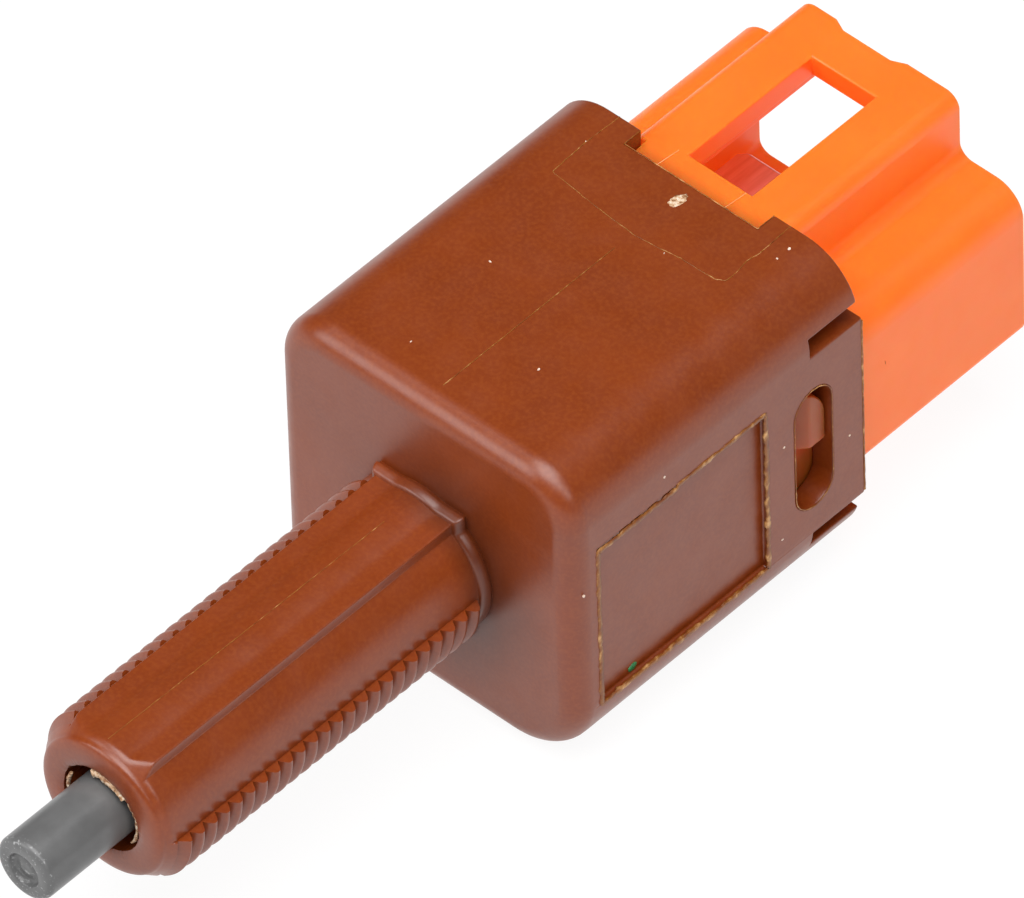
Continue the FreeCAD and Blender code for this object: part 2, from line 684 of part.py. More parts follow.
def coil_spring(label, radius, wire, turns, front, rear):
    """A coil of wire whose ends lie just clear of two seats, in short straight lengths mitred together."""
    start = value(front + " + #spring_seat_gap + " + wire)
    rise = value(rear + " - #spring_seat_gap - " + wire) - start
    count = round(size("coil_steps") * value(turns))
    points = []
    for number in range(count + 1):
        angle = 2 * math.pi * number / size("coil_steps")
        across = FreeCAD.Vector(math.cos(angle), 0, math.sin(angle)) * value(radius)
        points.append(across + FreeCAD.Vector(0, start + rise * number / count, 0))
    centre_line = doc.addObject("Part::Feature", label + "_centre_line")
    centre_line.Shape = Part.makePolygon(points)
    section = doc.addObject("Part::RegularPolygon", label + "_section")
    section.Polygon = 6
    section.Placement = FreeCAD.Placement(
        points[0], FreeCAD.Rotation(FreeCAD.Vector(0, 0, 1), points[1] - points[0]))
    bind(section, "Circumradius", wire)
    spring = doc.addObject("Part::Sweep", label)
    spring.Label = label
    spring.Sections = [section]
    spring.Spine = (centre_line, [])
    spring.Solid = True
    spring.Transition = "Right corner"
    doc.recompute()
    return spring


# Springs: the short one presses the contact bridge forward, the long one returns the plunger
contact_spring = coil_spring("contact_spring", "#contact_spring_radius", "#contact_wire_radius",
                             "#contact_spring_turns", STRIP_REAR, FRAME_REAR)
return_spring = coil_spring("return_spring", "#return_spring_radius", "#return_wire_radius",
                            "#return_spring_turns", CARRIER_REAR, WELL_FLOOR)

NODES = [
    housing, base, terminal, terminal_left, fixed_button, fixed_button_left,
    plunger, carrier, return_spring,
    strip, bridge_button, bridge_button_left, contact_spring,
]
doc.recompute()
faults = [item.Name for item in doc.Objects if "Invalid" in item.State or "Error" in item.State]
if faults:
    raise RuntimeError("failed features: " + ", ".join(faults))
for node in NODES:
    if node.Shape.isNull() or not node.Shape.isValid() or len(node.Shape.Solids) != 1:
        raise RuntimeError("not one valid solid: " + node.Label)
os.makedirs("parts", exist_ok=True)
for node in NODES:
    node.Shape.exportStep("parts/" + node.Label + ".step")
    print("%-20s %8.1f mm3" % (node.Label, node.Shape.Volume))
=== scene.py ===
import math

import bmesh
import bpy
from mathutils import Matrix, Vector, noise


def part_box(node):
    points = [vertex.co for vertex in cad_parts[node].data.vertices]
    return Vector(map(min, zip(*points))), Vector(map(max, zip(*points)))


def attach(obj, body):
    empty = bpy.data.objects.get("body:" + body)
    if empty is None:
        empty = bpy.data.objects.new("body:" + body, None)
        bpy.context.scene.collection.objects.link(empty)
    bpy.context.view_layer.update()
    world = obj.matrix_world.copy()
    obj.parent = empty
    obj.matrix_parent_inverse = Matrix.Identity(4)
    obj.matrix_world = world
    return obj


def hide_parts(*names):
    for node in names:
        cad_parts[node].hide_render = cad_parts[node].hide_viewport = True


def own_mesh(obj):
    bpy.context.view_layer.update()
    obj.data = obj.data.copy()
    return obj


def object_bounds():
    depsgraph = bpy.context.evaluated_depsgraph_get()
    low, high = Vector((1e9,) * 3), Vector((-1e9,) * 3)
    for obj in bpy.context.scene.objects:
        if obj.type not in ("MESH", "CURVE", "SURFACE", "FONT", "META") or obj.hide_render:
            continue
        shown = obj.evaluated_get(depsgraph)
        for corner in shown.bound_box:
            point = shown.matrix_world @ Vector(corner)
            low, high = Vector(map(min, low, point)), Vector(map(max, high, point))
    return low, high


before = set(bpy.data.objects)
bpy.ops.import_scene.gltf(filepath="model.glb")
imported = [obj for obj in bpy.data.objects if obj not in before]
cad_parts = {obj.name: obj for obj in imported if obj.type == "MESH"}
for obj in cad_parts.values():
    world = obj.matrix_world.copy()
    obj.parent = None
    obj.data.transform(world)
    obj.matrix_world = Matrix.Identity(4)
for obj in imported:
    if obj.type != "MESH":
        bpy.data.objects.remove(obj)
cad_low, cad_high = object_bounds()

# Camera
# The photograph was taken from the right, in front and above, with a long lens that makes the edges
# almost parallel. The camera looks at a point of the housing, and turns slightly on its own axis.
MM = 0.001
CAMERA_AZIMUTH = math.radians(44.036)
CAMERA_ELEVATION = math.radians(46.306)
CAMERA_ROLL = math.radians(1.927)
FOCAL_PIXELS = 25000.0
PIXELS_PER_MM = 18.263
PHOTO_WIDTH = 1024
SENSOR_WIDTH = 36.0
TARGET_RIGHT = -4.754 * MM
TARGET_DOWN = 5.432 * MM

sideways = Vector((math.cos(CAMERA_AZIMUTH), math.sin(CAMERA_AZIMUTH), 0))
forward = Vector((
    -math.sin(CAMERA_AZIMUTH) * math.cos(CAMERA_ELEVATION),
    math.cos(CAMERA_AZIMUTH) * math.cos(CAMERA_ELEVATION),
    -math.sin(CAMERA_ELEVATION),
))
downward = forward.cross(sideways)
camera_right = sideways * math.cos(CAMERA_ROLL) + downward * math.sin(CAMERA_ROLL)
camera_down = downward * math.cos(CAMERA_ROLL) - sideways * math.sin(CAMERA_ROLL)
distance = FOCAL_PIXELS / PIXELS_PER_MM * MM
camera_place = -(camera_right * TARGET_RIGHT + camera_down * TARGET_DOWN + forward * distance)
camera_data = bpy.data.cameras.new("camera")
camera_data.sensor_width = SENSOR_WIDTH
camera_data.lens = FOCAL_PIXELS / PHOTO_WIDTH * SENSOR_WIDTH
camera_data.clip_start = 0.01
camera_data.clip_end = 20
camera = bpy.data.objects.new("camera", camera_data)
bpy.context.scene.collection.objects.link(camera)
turn = Matrix((camera_right, -camera_down, -forward)).transposed().to_4x4()
camera.matrix_world = Matrix.Translation(camera_place) @ turn
bpy.context.scene.camera = camera


# Housing box
# The box is moulded in red-brown glass-filled PBT, open at the rear, with four rounded long corners. Its
# surface is satin from the tool, with a few pale specks and rubs from handling.
EDGE_SOFTENING = 0.13 * MM
SHARP_ANGLE = math.radians(30)
FLAT_ANGLE = math.radians(0.6)
MERGE_DISTANCE = 1e-7
FRONT_PLAY = 0.001 * MM
HIDDEN_RADIUS = 3.8 * MM
FLASH_HEIGHT = 0.04 * MM


def linear(code):
    """The linear colour of an sRGB hex value."""
    channels = [int(code[place:place + 2], 16) / 255 for place in (0, 2, 4)]
    return [c / 12.92 if c <= 0.04045 else ((c + 0.055) / 1.055) ** 2.4 for c in channels] + [1.0]


def add_node(tree, kind, inputs=None, **settings):
    """A new node with its settings, and with inputs that are values or other nodes' outputs."""
    node = tree.nodes.new(kind)
    for name, setting in settings.items():
        setattr(node, name, setting)
    for name, given in (inputs or {}).items():
        if isinstance(given, bpy.types.NodeSocket):
            tree.links.new(given, node.inputs[name])
        else:
            node.inputs[name].default_value = given
    return node


def new_material(name):
    """A material with only a Principled surface, and that surface's node."""
    material = bpy.data.materials.new(name)
    material.use_nodes = True
    tree = material.node_tree
    tree.nodes.clear()
    surface = add_node(tree, "ShaderNodeBsdfPrincipled")
    add_node(tree, "ShaderNodeOutputMaterial", {"Surface": surface.outputs["BSDF"]})
    return material, tree, surface


def object_noise(tree, size, detail=2.0, stretch=(1, 1, 1), shift=(0, 0, 0)):
    """Noise whose features are about one size in metres, on the object's own coordinates."""
    place = add_node(tree, "ShaderNodeTexCoord").outputs["Object"]
    mapping = add_node(tree, "ShaderNodeMapping", {"Vector": place, "Scale": stretch, "Location": shift})
    return add_node(tree, "ShaderNodeTexNoise", {
        "Vector": mapping.outputs["Vector"],
        "Scale": 1 / size,
        "Detail": detail,
    }).outputs["Fac"]


def ramp(tree, factor, stops):
    """A colour ramp through (place, hex colour or grey value) stops."""
    node = add_node(tree, "ShaderNodeValToRGB", {"Fac": factor})
    elements = node.color_ramp.elements
    while len(elements) < len(stops):
        elements.new(0.5)
    for element, (place, colour) in zip(elements, stops):
        element.position = place
        element.color = linear(colour) if isinstance(colour, str) else [colour] * 3 + [1.0]
    return node.outputs["Color"]


def blended(tree, factor, first, second):
    """A colour between two others."""
    node = add_node(tree, "ShaderNodeMix", data_type="RGBA")
    for name, given in (("Factor", factor), ("A", first), ("B", second)):
        socket = next(s for s in node.inputs if s.name == name and s.enabled)
        if isinstance(given, bpy.types.NodeSocket):
            tree.links.new(given, socket)
        else:
            socket.default_value = given
    return next(s for s in node.outputs if s.enabled)


def specks(tree, spacing, size, share):
    """Small round specks: a cell of this spacing holds one if its random value is under the share."""
    place = add_node(tree, "ShaderNodeTexCoord").outputs["Object"]
    cells = add_node(tree, "ShaderNodeTexVoronoi", {"Vector": place, "Scale": 1 / spacing})
    near_middle = add_node(tree, "ShaderNodeMath", {0: cells.outputs["Distance"], 1: size / spacing},
                           operation="LESS_THAN")
    value = add_node(tree, "ShaderNodeSeparateColor", {"Color": cells.outputs["Color"]}).outputs["Red"]
    chosen = add_node(tree, "ShaderNodeMath", {0: value, 1: share}, operation="LESS_THAN")
    return add_node(tree, "ShaderNodeMath", {0: near_middle.outputs[0], 1: chosen.outputs[0]},
                    operation="MULTIPLY").outputs[0]


def scratches(tree, spacing, width, share, angle):
    """Short fine scratches along one direction across the top of the box."""
    place = add_node(tree, "ShaderNodeTexCoord").outputs["Object"]
    turned = add_node(tree, "ShaderNodeMapping", {
        "Vector": place,
        "Rotation": (0, 0, angle),
        "Scale": (1, 0.12, 1),
    })
    cells = add_node(tree, "ShaderNodeTexVoronoi", {"Vector": turned.outputs["Vector"], "Scale": 1 / spacing})
    near_middle = add_node(tree, "ShaderNodeMath", {0: cells.outputs["Distance"], 1: width / spacing},
                           operation="LESS_THAN")
    value = add_node(tree, "ShaderNodeSeparateColor", {"Color": cells.outputs["Color"]}).outputs["Green"]
    chosen = add_node(tree, "ShaderNodeMath", {0: value, 1: share}, operation="LESS_THAN")
    return add_node(tree, "ShaderNodeMath", {0: near_middle.outputs[0], 1: chosen.outputs[0]},
                    operation="MULTIPLY").outputs[0]


def satin_bump(tree, surface, size, height, strength):
    """The fine unevenness that a spark-eroded tool leaves on a moulding."""
    bump = add_node(tree, "ShaderNodeBump", {
        "Height": object_noise(tree, size, 3.0),
        "Distance": height,
        "Strength": strength,
    })
    tree.links.new(bump.outputs["Normal"], surface.inputs["Normal"])


def painted_foot_shade(tree):
    """How much painted shade lies at a place: most in the corner between the stem and the front wall."""
    place = add_node(tree, "ShaderNodeTexCoord").outputs["Object"]
    parts = add_node(tree, "ShaderNodeSeparateXYZ", {"Vector": place})
    flat = add_node(tree, "ShaderNodeCombineXYZ", {"X": parts.outputs["X"], "Z": parts.outputs["Z"]})
    radius = add_node(tree, "ShaderNodeVectorMath", {0: flat.outputs["Vector"]}, operation="LENGTH")
    nearness = add_node(tree, "ShaderNodeMapRange", {
        "Value": radius.outputs["Value"],
        "From Min": 5.0 * MM,
        "From Max": 9.5 * MM,
        "To Min": 0.55,
        "To Max": 0.0,
    })
    ahead = add_node(tree, "ShaderNodeMapRange", {
        "Value": parts.outputs["Y"],
        "From Min": -2.2 * MM,
        "From Max": -0.6 * MM,
    })
    to_the_right = add_node(tree, "ShaderNodeMapRange", {
        "Value": parts.outputs["X"],
        "From Min": -4 * MM,
        "From Max": 2 * MM,
    })
    on_wall = add_node(tree, "ShaderNodeMath", {0: nearness.outputs["Result"], 1: ahead.outputs["Result"]},
                       operation="MULTIPLY")
    return add_node(tree, "ShaderNodeMath", {0: on_wall.outputs[0], 1: to_the_right.outputs["Result"]},
                    operation="MULTIPLY").outputs[0]


def brown_pbt(name="moulded_brown_pbt", scuffed_and_shaded=True):
    """Glass-filled PBT: a warm red-brown body colour under a satin skin that reflects the table, with painted shade
    at the stem's foot.
    """
    material, tree, surface = new_material(name)
    cloud = object_noise(tree, 3.5 * MM, 3.0)
    colour = ramp(tree, cloud, [(0.3, "7B310A"), (0.7, "83360C")])
    grain = object_noise(tree, 0.25 * MM, 2.0, shift=(3, 1, 2))
    colour = blended(tree, ramp(tree, grain, [(0.4, 0.0), (0.72, 0.55)]), colour, linear("8E4214"))
    # pale specks and scratches are wear; the dark colour at the stem's foot is painted shade
    if scuffed_and_shaded:
        colour = blended(tree, specks(tree, 3.6 * MM, 0.04 * MM, 0.45), colour, linear("C08A68"))
        colour = blended(tree, scratches(tree, 2.6 * MM, 0.05 * MM, 0.06, math.radians(25)),
                         colour, linear("A8643E"))
        # painted shade: dark brown 2A120A in the corner between the stem and the front wall
        colour = blended(tree, painted_foot_shade(tree), colour, linear("2A120A"))
    tree.links.new(colour, surface.inputs["Base Color"])
    wear = object_noise(tree, 1.6 * MM, 4.0)
    tree.links.new(ramp(tree, wear, [(0.3, 0.3), (0.75, 0.4)]), surface.inputs["Roughness"])
    surface.inputs["IOR"].default_value = 1.58
    satin_bump(tree, surface, 0.22 * MM, 0.006 * MM, 0.5)
    return material


def merged_copy(node, name, kept=None):
    """A copy of a CAD node's mesh with its points merged, its flat faces joined and some faces left out."""
    mesh = bmesh.new()
    mesh.from_mesh(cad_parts[node].data)
    bmesh.ops.remove_doubles(mesh, verts=mesh.verts, dist=MERGE_DISTANCE)
    if kept:
        unwanted = [face for face in mesh.faces if not kept(face.calc_center_median())]
        bmesh.ops.delete(mesh, geom=unwanted, context="FACES")
    bmesh.ops.dissolve_limit(mesh, angle_limit=FLAT_ANGLE, verts=mesh.verts, edges=mesh.edges, delimit=set())
    return new_piece(name, mesh)


def new_piece(name, mesh):
    """A new object in the scene that holds a bmesh."""
    data = bpy.data.meshes.new(name)
    mesh.to_mesh(data)
    mesh.free()
    piece = bpy.data.objects.new(name, data)
    bpy.context.scene.collection.objects.link(piece)
    return piece


def made_plain(piece):
    """The piece with the result of its modifiers as its own mesh."""
    bpy.context.view_layer.update()
    graph = bpy.context.evaluated_depsgraph_get()
    mesh = bpy.data.meshes.new_from_object(piece.evaluated_get(graph))
    piece.modifiers.clear()
    piece.data = mesh
    return piece


def soften_edges(piece, width, segments=2):
    """Rounds the piece's sharp edges and keeps its flat faces flat to the eye."""
    bevel = piece.modifiers.new("edge_rounding", "BEVEL")
    bevel.width = width
    bevel.segments = segments
    bevel.limit_method = "ANGLE"
    bevel.angle_limit = SHARP_ANGLE
    bevel.use_clamp_overlap = False
    made_plain(piece)
    piece.data.shade_smooth()
    weighting = piece.modifiers.new("flat_faces_flat", "WEIGHTED_NORMAL")
    weighting.mode = "FACE_AREA"
    weighting.weight = 100
    return made_plain(piece)


def dress(piece, material, body, slot, *nodes):
    """Gives a piece its one material, its body and the CAD nodes that it stands for; the slot is not used."""
    piece.data.materials.clear()
    piece.data.materials.append(material)
    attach(piece, body)
    if nodes:
        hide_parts(*nodes)
    return piece


brown = brown_pbt()
housing_low, housing_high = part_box("housing")
box = merged_copy("housing", "housing_box", lambda place: place.y > -FRONT_PLAY)
shell = bmesh.new()
shell.from_mesh(box.data)
inward = 1 - FLASH_HEIGHT / housing_high.x
bmesh.ops.scale(shell, vec=(inward, 1, inward), verts=shell.verts)
open_edges = [edge for edge in shell.edges if edge.is_boundary]
for corner in {corner for edge in open_edges for corner in edge.verts if corner.co.y < FRONT_PLAY}:
    nearer = HIDDEN_RADIUS / math.hypot(corner.co.x, corner.co.z)
    corner.co.x *= nearer
    corner.co.z *= nearer
bmesh.ops.bridge_loops(shell, edges=open_edges)
bmesh.ops.recalc_face_normals(shell, faces=shell.faces)
shell.to_mesh(box.data)
shell.free()
soften_edges(box, EDGE_SOFTENING)
dress(box, brown, "switch_body", "brown_pbt", "housing")


# Stem
# The stem is one shot with the box: a round core with a flat land above and one below, a collar at its
# foot, a rounded tip and a widened mouth, whose rim is torn where the tool's parts met.
STEM_LENGTH = -housing_low.y
CORE_RADIUS = 4.75 * MM
LAND_HALF_WIDTH = 2.87 * MM
LAND_HEIGHT = 4.48 * MM
COLLAR_RADIUS = 5.08 * MM
COLLAR_HALF_WIDTH = 3.3 * MM
COLLAR_HEIGHT = 4.86 * MM
COLLAR_PROFILE = [
    (-0.3, 0.7), (0.1, 0.75), (0.18, 0.95), (0.24, 1.0), (0.45, 0.88), (0.62, 0.74), (0.72, 0.58), (0.79, 0.3), (0.82, 0.0),
]
COLLAR_LENGTH = 0.82 * MM
SHAFT_ROWS = 20
TIP_ROWS = 18
WALL_DEPTH = 1.5 * MM
TIP_LENGTH = 1.6 * MM
TIP_FACE_RADIUS = 3.65 * MM
TIP_EDGE = 0.4 * MM
TIP_EDGE_RADIUS = 4.5 * MM
RIB_RADIUS = 5.4 * MM
MOUTH_RADIUS = 2.8 * MM
MOUTH_DEPTH = 3.0 * MM
BORE_RADIUS = 2.1 * MM
CORNER_SHARPNESS = 80
BLEND = 0.05 * MM
BED_RADIUS = 5.36 * MM
BED_LENGTH = 1.0 * MM
RIB_STARTS = (math.radians(-54), math.radians(126))
RIB_SPAN = math.radians(54)


def soft_max(one, other, width):
    """The larger of two values, with a smooth change between them."""
    mix = min(max(0.5 + (one - other) / (2 * width), 0), 1)
    return one * mix + other * (1 - mix) + width * mix * (1 - mix)


def land_outline(angle, radius, half_width, height):
    """The outline of a round core with two lands: its distance from the axis at an angle."""
    across = (abs(math.cos(angle)) / half_width) ** CORNER_SHARPNESS
    upward = (abs(math.sin(angle)) / height) ** CORNER_SHARPNESS
    return soft_max(radius, (across + upward) ** (-1 / CORNER_SHARPNESS), BLEND)


def stem_outline(angle, share=0.0):
    """The stem's outline, or with a share of 1 the collar's."""
    return land_outline(
        angle,
        CORE_RADIUS + (COLLAR_RADIUS - CORE_RADIUS) * share,
        LAND_HALF_WIDTH + (COLLAR_HALF_WIDTH - LAND_HALF_WIDTH) * share,
        LAND_HEIGHT + (COLLAR_HEIGHT - LAND_HEIGHT) * share,
    )


def tip_outline(angle, back):
    """The stem's outline near its tip, where a smooth bed carries the first tooth of each rib."""
    in_rib = any(0 <= (angle - start) % (2 * math.pi) <= RIB_SPAN for start in RIB_STARTS)
    bed = BED_RADIUS if in_rib and back < BED_LENGTH else 0
    return -soft_max(-max(stem_outline(angle), bed), -tip_limit(back), 0.12 * MM)


def tip_limit(back):
    """How far from the axis the surface may lie at a distance back from the tip."""
    if back < TIP_EDGE:
        return TIP_FACE_RADIUS + (TIP_EDGE_RADIUS - TIP_FACE_RADIUS) * (1 - (1 - back / TIP_EDGE) ** 2) ** 0.5
    return TIP_EDGE_RADIUS + (RIB_RADIUS - TIP_EDGE_RADIUS) * (back - TIP_EDGE) / (TIP_LENGTH - TIP_EDGE)


def quarter(steps):
    """Angles through a quarter turn, both ends included."""
    return [math.pi / 2 * step / steps for step in range(steps + 1)]


rows = [(WALL_DEPTH, lambda a: BORE_RADIUS), (WALL_DEPTH, stem_outline)]
for front, share in COLLAR_PROFILE:
    rows.append((-front * MM, lambda a, share=share: stem_outline(a, share)))
for step in range(1, SHAFT_ROWS):
    rows.append((-COLLAR_LENGTH - step * (STEM_LENGTH - COLLAR_LENGTH - TIP_LENGTH) / SHAFT_ROWS, stem_outline))
for step in range(TIP_ROWS + 1):
    back = TIP_LENGTH * (1 - step / TIP_ROWS) ** 1.6
    rows.append((back - STEM_LENGTH, lambda a, back=back: tip_outline(a, back)))


def mouth_edge(angle, place):
    """The torn rim of the mouth: flash that reaches inwards, most on the upper right."""
    ragged = noise.noise(Vector((math.cos(angle) * 4, math.sin(angle) * 4, place * 900)))
    fine = noise.noise(Vector((math.cos(angle) * 17, math.sin(angle) * 17, place * 900)))
    upper_right = max(0, math.cos(angle - math.radians(35)))
    return MOUTH_RADIUS + (0.05 * ragged + 0.07 * fine - 0.3 * max(0, fine) * upper_right) * MM


tip_front = -STEM_LENGTH
rows += [
    (tip_front, lambda a: (TIP_FACE_RADIUS + MOUTH_RADIUS) / 2 + 0.1 * MM),
    (tip_front + 0.03 * MM, lambda a: mouth_edge(a, 0) + 0.14 * MM),
    (tip_front + 0.12 * MM, lambda a: mouth_edge(a, 0)),
    (tip_front + 0.3 * MM, lambda a: mouth_edge(a, 1) + 0.03 * MM),
    (tip_front + 0.6 * MM, lambda a: mouth_edge(a, 2) + 0.05 * MM),
    (tip_front + MOUTH_DEPTH, lambda a: MOUTH_RADIUS),
    (tip_front + MOUTH_DEPTH, lambda a: BORE_RADIUS),
]
land_corner = math.atan2(LAND_HEIGHT, LAND_HALF_WIDTH)
land_foot = math.acos(LAND_HALF_WIDTH / CORE_RADIUS)
angles = {round(math.radians(degree), 5) for degree in range(0, 360, 2)}
for middle in (0, math.pi):
    for corner in (land_corner, -land_corner, land_foot, -land_foot, 0, RIB_STARTS[0]):
        for step in range(-5, 6):
            angles.add(round((middle + corner + step * math.radians(0.3)) % (2 * math.pi), 5))
angles = sorted(angles)
stem_mesh = bmesh.new()
rings = []
for place, reach in rows:
    rings.append([
        stem_mesh.verts.new((reach(angle) * math.cos(angle), place, reach(angle) * math.sin(angle)))
        for angle in angles
    ])
for ring, following in zip(rings, rings[1:] + rings[:1]):
    for step in range(len(angles)):
        after = (step + 1) % len(angles)
        stem_mesh.faces.new((ring[step], ring[after], following[after], following[step]))
bmesh.ops.recalc_face_normals(stem_mesh, faces=stem_mesh.faces)
stem = new_piece("stem", stem_mesh)
stem.data.shade_smooth()
stem.data.set_sharp_from_angle(angle=math.radians(48))
dress(stem, brown, "switch_body", "brown_pbt")


# Toothed ribs
# Each side of the stem carries a rib of blunt teeth that bite the bracket's edge when the switch is
# turned. They are moulded with the stem, at one pitch, and cut back where the tip is rounded.
TOOTH_PITCH = 1.0 * MM
TOOTH_VALLEY = 4.8 * MM
TOOTH_SINK = 4.3 * MM
TOOTH_STEPS = 16
TOOTH_COUNT = 25
TOOTH_PROFILE = [
    (-0.5, 0.0), (-0.22, 0.47), (-0.13, 0.555), (-0.06, 0.59), (0.06, 0.59), (0.13, 0.555), (0.22, 0.47), (0.5, 0.0),
]


def tooth_mesh(start):
    """One tooth at the origin, turned through the rib's span from an angle, with flat closed ends."""
    mesh = bmesh.new()
    outline = [(-0.5 * MM, TOOTH_SINK)]
    outline += [(along * MM, TOOTH_VALLEY + height * MM) for along, height in TOOTH_PROFILE]
    outline += [(0.5 * MM, TOOTH_SINK)]
    slices = []
    for step in range(TOOTH_STEPS + 1):
        angle = start + RIB_SPAN * step / TOOTH_STEPS
        slices.append([
            mesh.verts.new((radius * math.cos(angle), along, radius * math.sin(angle)))
            for along, radius in outline
        ])
    for one, other in zip(slices, slices[1:]):
        for number in range(len(outline)):
            after = (number + 1) % len(outline)
            mesh.faces.new((one[number], one[after], other[after], other[number]))
    mesh.faces.new(slices[0])
    mesh.faces.new(slices[-1])
    bmesh.ops.recalc_face_normals(mesh, faces=mesh.faces)
    return mesh


def new_tree(name, inputs):
    """An empty tree of geometry nodes with named inputs, and its two end nodes."""
    tree = bpy.data.node_groups.new(name, "GeometryNodeTree")
    tree.interface.new_socket(name="Geometry", in_out="OUTPUT", socket_type="NodeSocketGeometry")
    tree.interface.new_socket(name="Geometry", in_out="INPUT", socket_type="NodeSocketGeometry")
    for label, kind in inputs:
        tree.interface.new_socket(name=label, in_out="INPUT", socket_type="NodeSocket" + kind)
    return tree, add_node(tree, "NodeGroupInput"), add_node(tree, "NodeGroupOutput")


def shaped_by(piece, tree, values):
    """Runs a tree on a piece with these inputs, and keeps the result as a plain mesh."""
    modifier = piece.modifiers.new(tree.name, "NODES")
    modifier.node_group = tree
    for item in tree.interface.items_tree:
        if item.in_out == "INPUT" and item.name in values:
            modifier[item.identifier] = values[item.name]
    return made_plain(piece)


def rib_tree():
    """Repeats a tooth along the stem and presses the foremost teeth down to the rounded tip."""
    tree, given, result = new_tree("toothed_rib", [
        ("Teeth", "Int"), ("Pitch", "Float"), ("First Place", "Float"), ("Tip Place", "Float"),
        ("Tip Length", "Float"), ("Tip Radius", "Float"), ("Full Radius", "Float"), ("Plastic", "Material"),
    ])
    offset = add_node(tree, "ShaderNodeCombineXYZ", {"Y": given.outputs["Pitch"]})
    first = add_node(tree, "ShaderNodeCombineXYZ", {"Y": given.outputs["First Place"]})
    row = add_node(tree, "GeometryNodeMeshLine", {
        "Count": given.outputs["Teeth"],
        "Start Location": first.outputs["Vector"],
        "Offset": offset.outputs["Vector"],
    })
    teeth = add_node(tree, "GeometryNodeInstanceOnPoints", {
        "Points": row.outputs["Mesh"],
        "Instance": given.outputs["Geometry"],
    })
    solid = add_node(tree, "GeometryNodeRealizeInstances", {"Geometry": teeth.outputs["Instances"]})
    place = add_node(tree, "GeometryNodeInputPosition").outputs["Position"]
    along = add_node(tree, "ShaderNodeSeparateXYZ", {"Vector": place})
    flat = add_node(tree, "ShaderNodeCombineXYZ", {"X": along.outputs["X"], "Z": along.outputs["Z"]})
    radius = add_node(tree, "ShaderNodeVectorMath", {0: flat.outputs["Vector"]}, operation="LENGTH")
    full_place = add_node(tree, "ShaderNodeMath", {0: given.outputs["Tip Place"], 1: given.outputs["Tip Length"]},
                          operation="ADD")
    limit = add_node(tree, "ShaderNodeMapRange", {
        "Value": along.outputs["Y"],
        "From Min": given.outputs["Tip Place"],
        "From Max": full_place.outputs[0],
        "To Min": given.outputs["Tip Radius"],
        "To Max": given.outputs["Full Radius"],
    })
    share = add_node(tree, "ShaderNodeMath", {0: limit.outputs["Result"], 1: radius.outputs["Value"]},
                     operation="DIVIDE")
    capped = add_node(tree, "ShaderNodeMath", {0: share.outputs[0], 1: 1.0}, operation="MINIMUM")
    scaled = add_node(tree, "ShaderNodeVectorMath", {0: flat.outputs["Vector"], "Scale": capped.outputs[0]},
                      operation="SCALE")
    level = add_node(tree, "ShaderNodeCombineXYZ", {"Y": along.outputs["Y"]})
    moved = add_node(tree, "ShaderNodeVectorMath", {0: scaled.outputs["Vector"], 1: level.outputs["Vector"]},
                     operation="ADD")
    pressed = add_node(tree, "GeometryNodeSetPosition", {
        "Geometry": solid.outputs["Geometry"],
        "Position": moved.outputs["Vector"],
    })
    painted = add_node(tree, "GeometryNodeSetMaterial", {
        "Geometry": pressed.outputs["Geometry"],
        "Material": given.outputs["Plastic"],
    })
    tree.links.new(painted.outputs["Geometry"], result.inputs["Geometry"])
    return tree


rib_builder = rib_tree()
for name, start in zip(("rib_right", "rib_left"), RIB_STARTS):
    rib = new_piece(name, tooth_mesh(start))
    shaped_by(rib, rib_builder, {
        "Teeth": TOOTH_COUNT,
        "Pitch": TOOTH_PITCH,
        "First Place": TOOTH_PITCH / 2 - STEM_LENGTH,
        "Tip Place": -STEM_LENGTH,
        "Tip Length": TIP_LENGTH,
        "Tip Radius": TIP_FACE_RADIUS - 0.1 * MM,
        "Full Radius": RIB_RADIUS,
        "Plastic": brown,
    })
    rib.data.shade_smooth()
    rib.data.set_sharp_from_angle(angle=math.radians(35))
    dress(rib, brown, "switch_body", "brown_pbt")


# Witness lines and flash
# Where the tool's parts met, a hair of plastic squeezed out: along the middle of the top and of the
# stem, round the insert that forms the latch notch, and thicker round the label recess.
def thin_flash():
    """Paper-thin PBT: paler and more orange than the body, because light passes through it."""
    material, tree, surface = new_material("thin_pbt_flash")
    patch = object_noise(tree, 0.6 * MM, 3.0)
    tree.links.new(ramp(tree, patch, [(0.35, "7C3E10"), (0.55, "965A1A"), (0.74, "D8A468")]),
                   surface.inputs["Base Color"])
    surface.inputs["Roughness"].default_value = 0.45
    surface.inputs["IOR"].default_value = 1.52
    return material


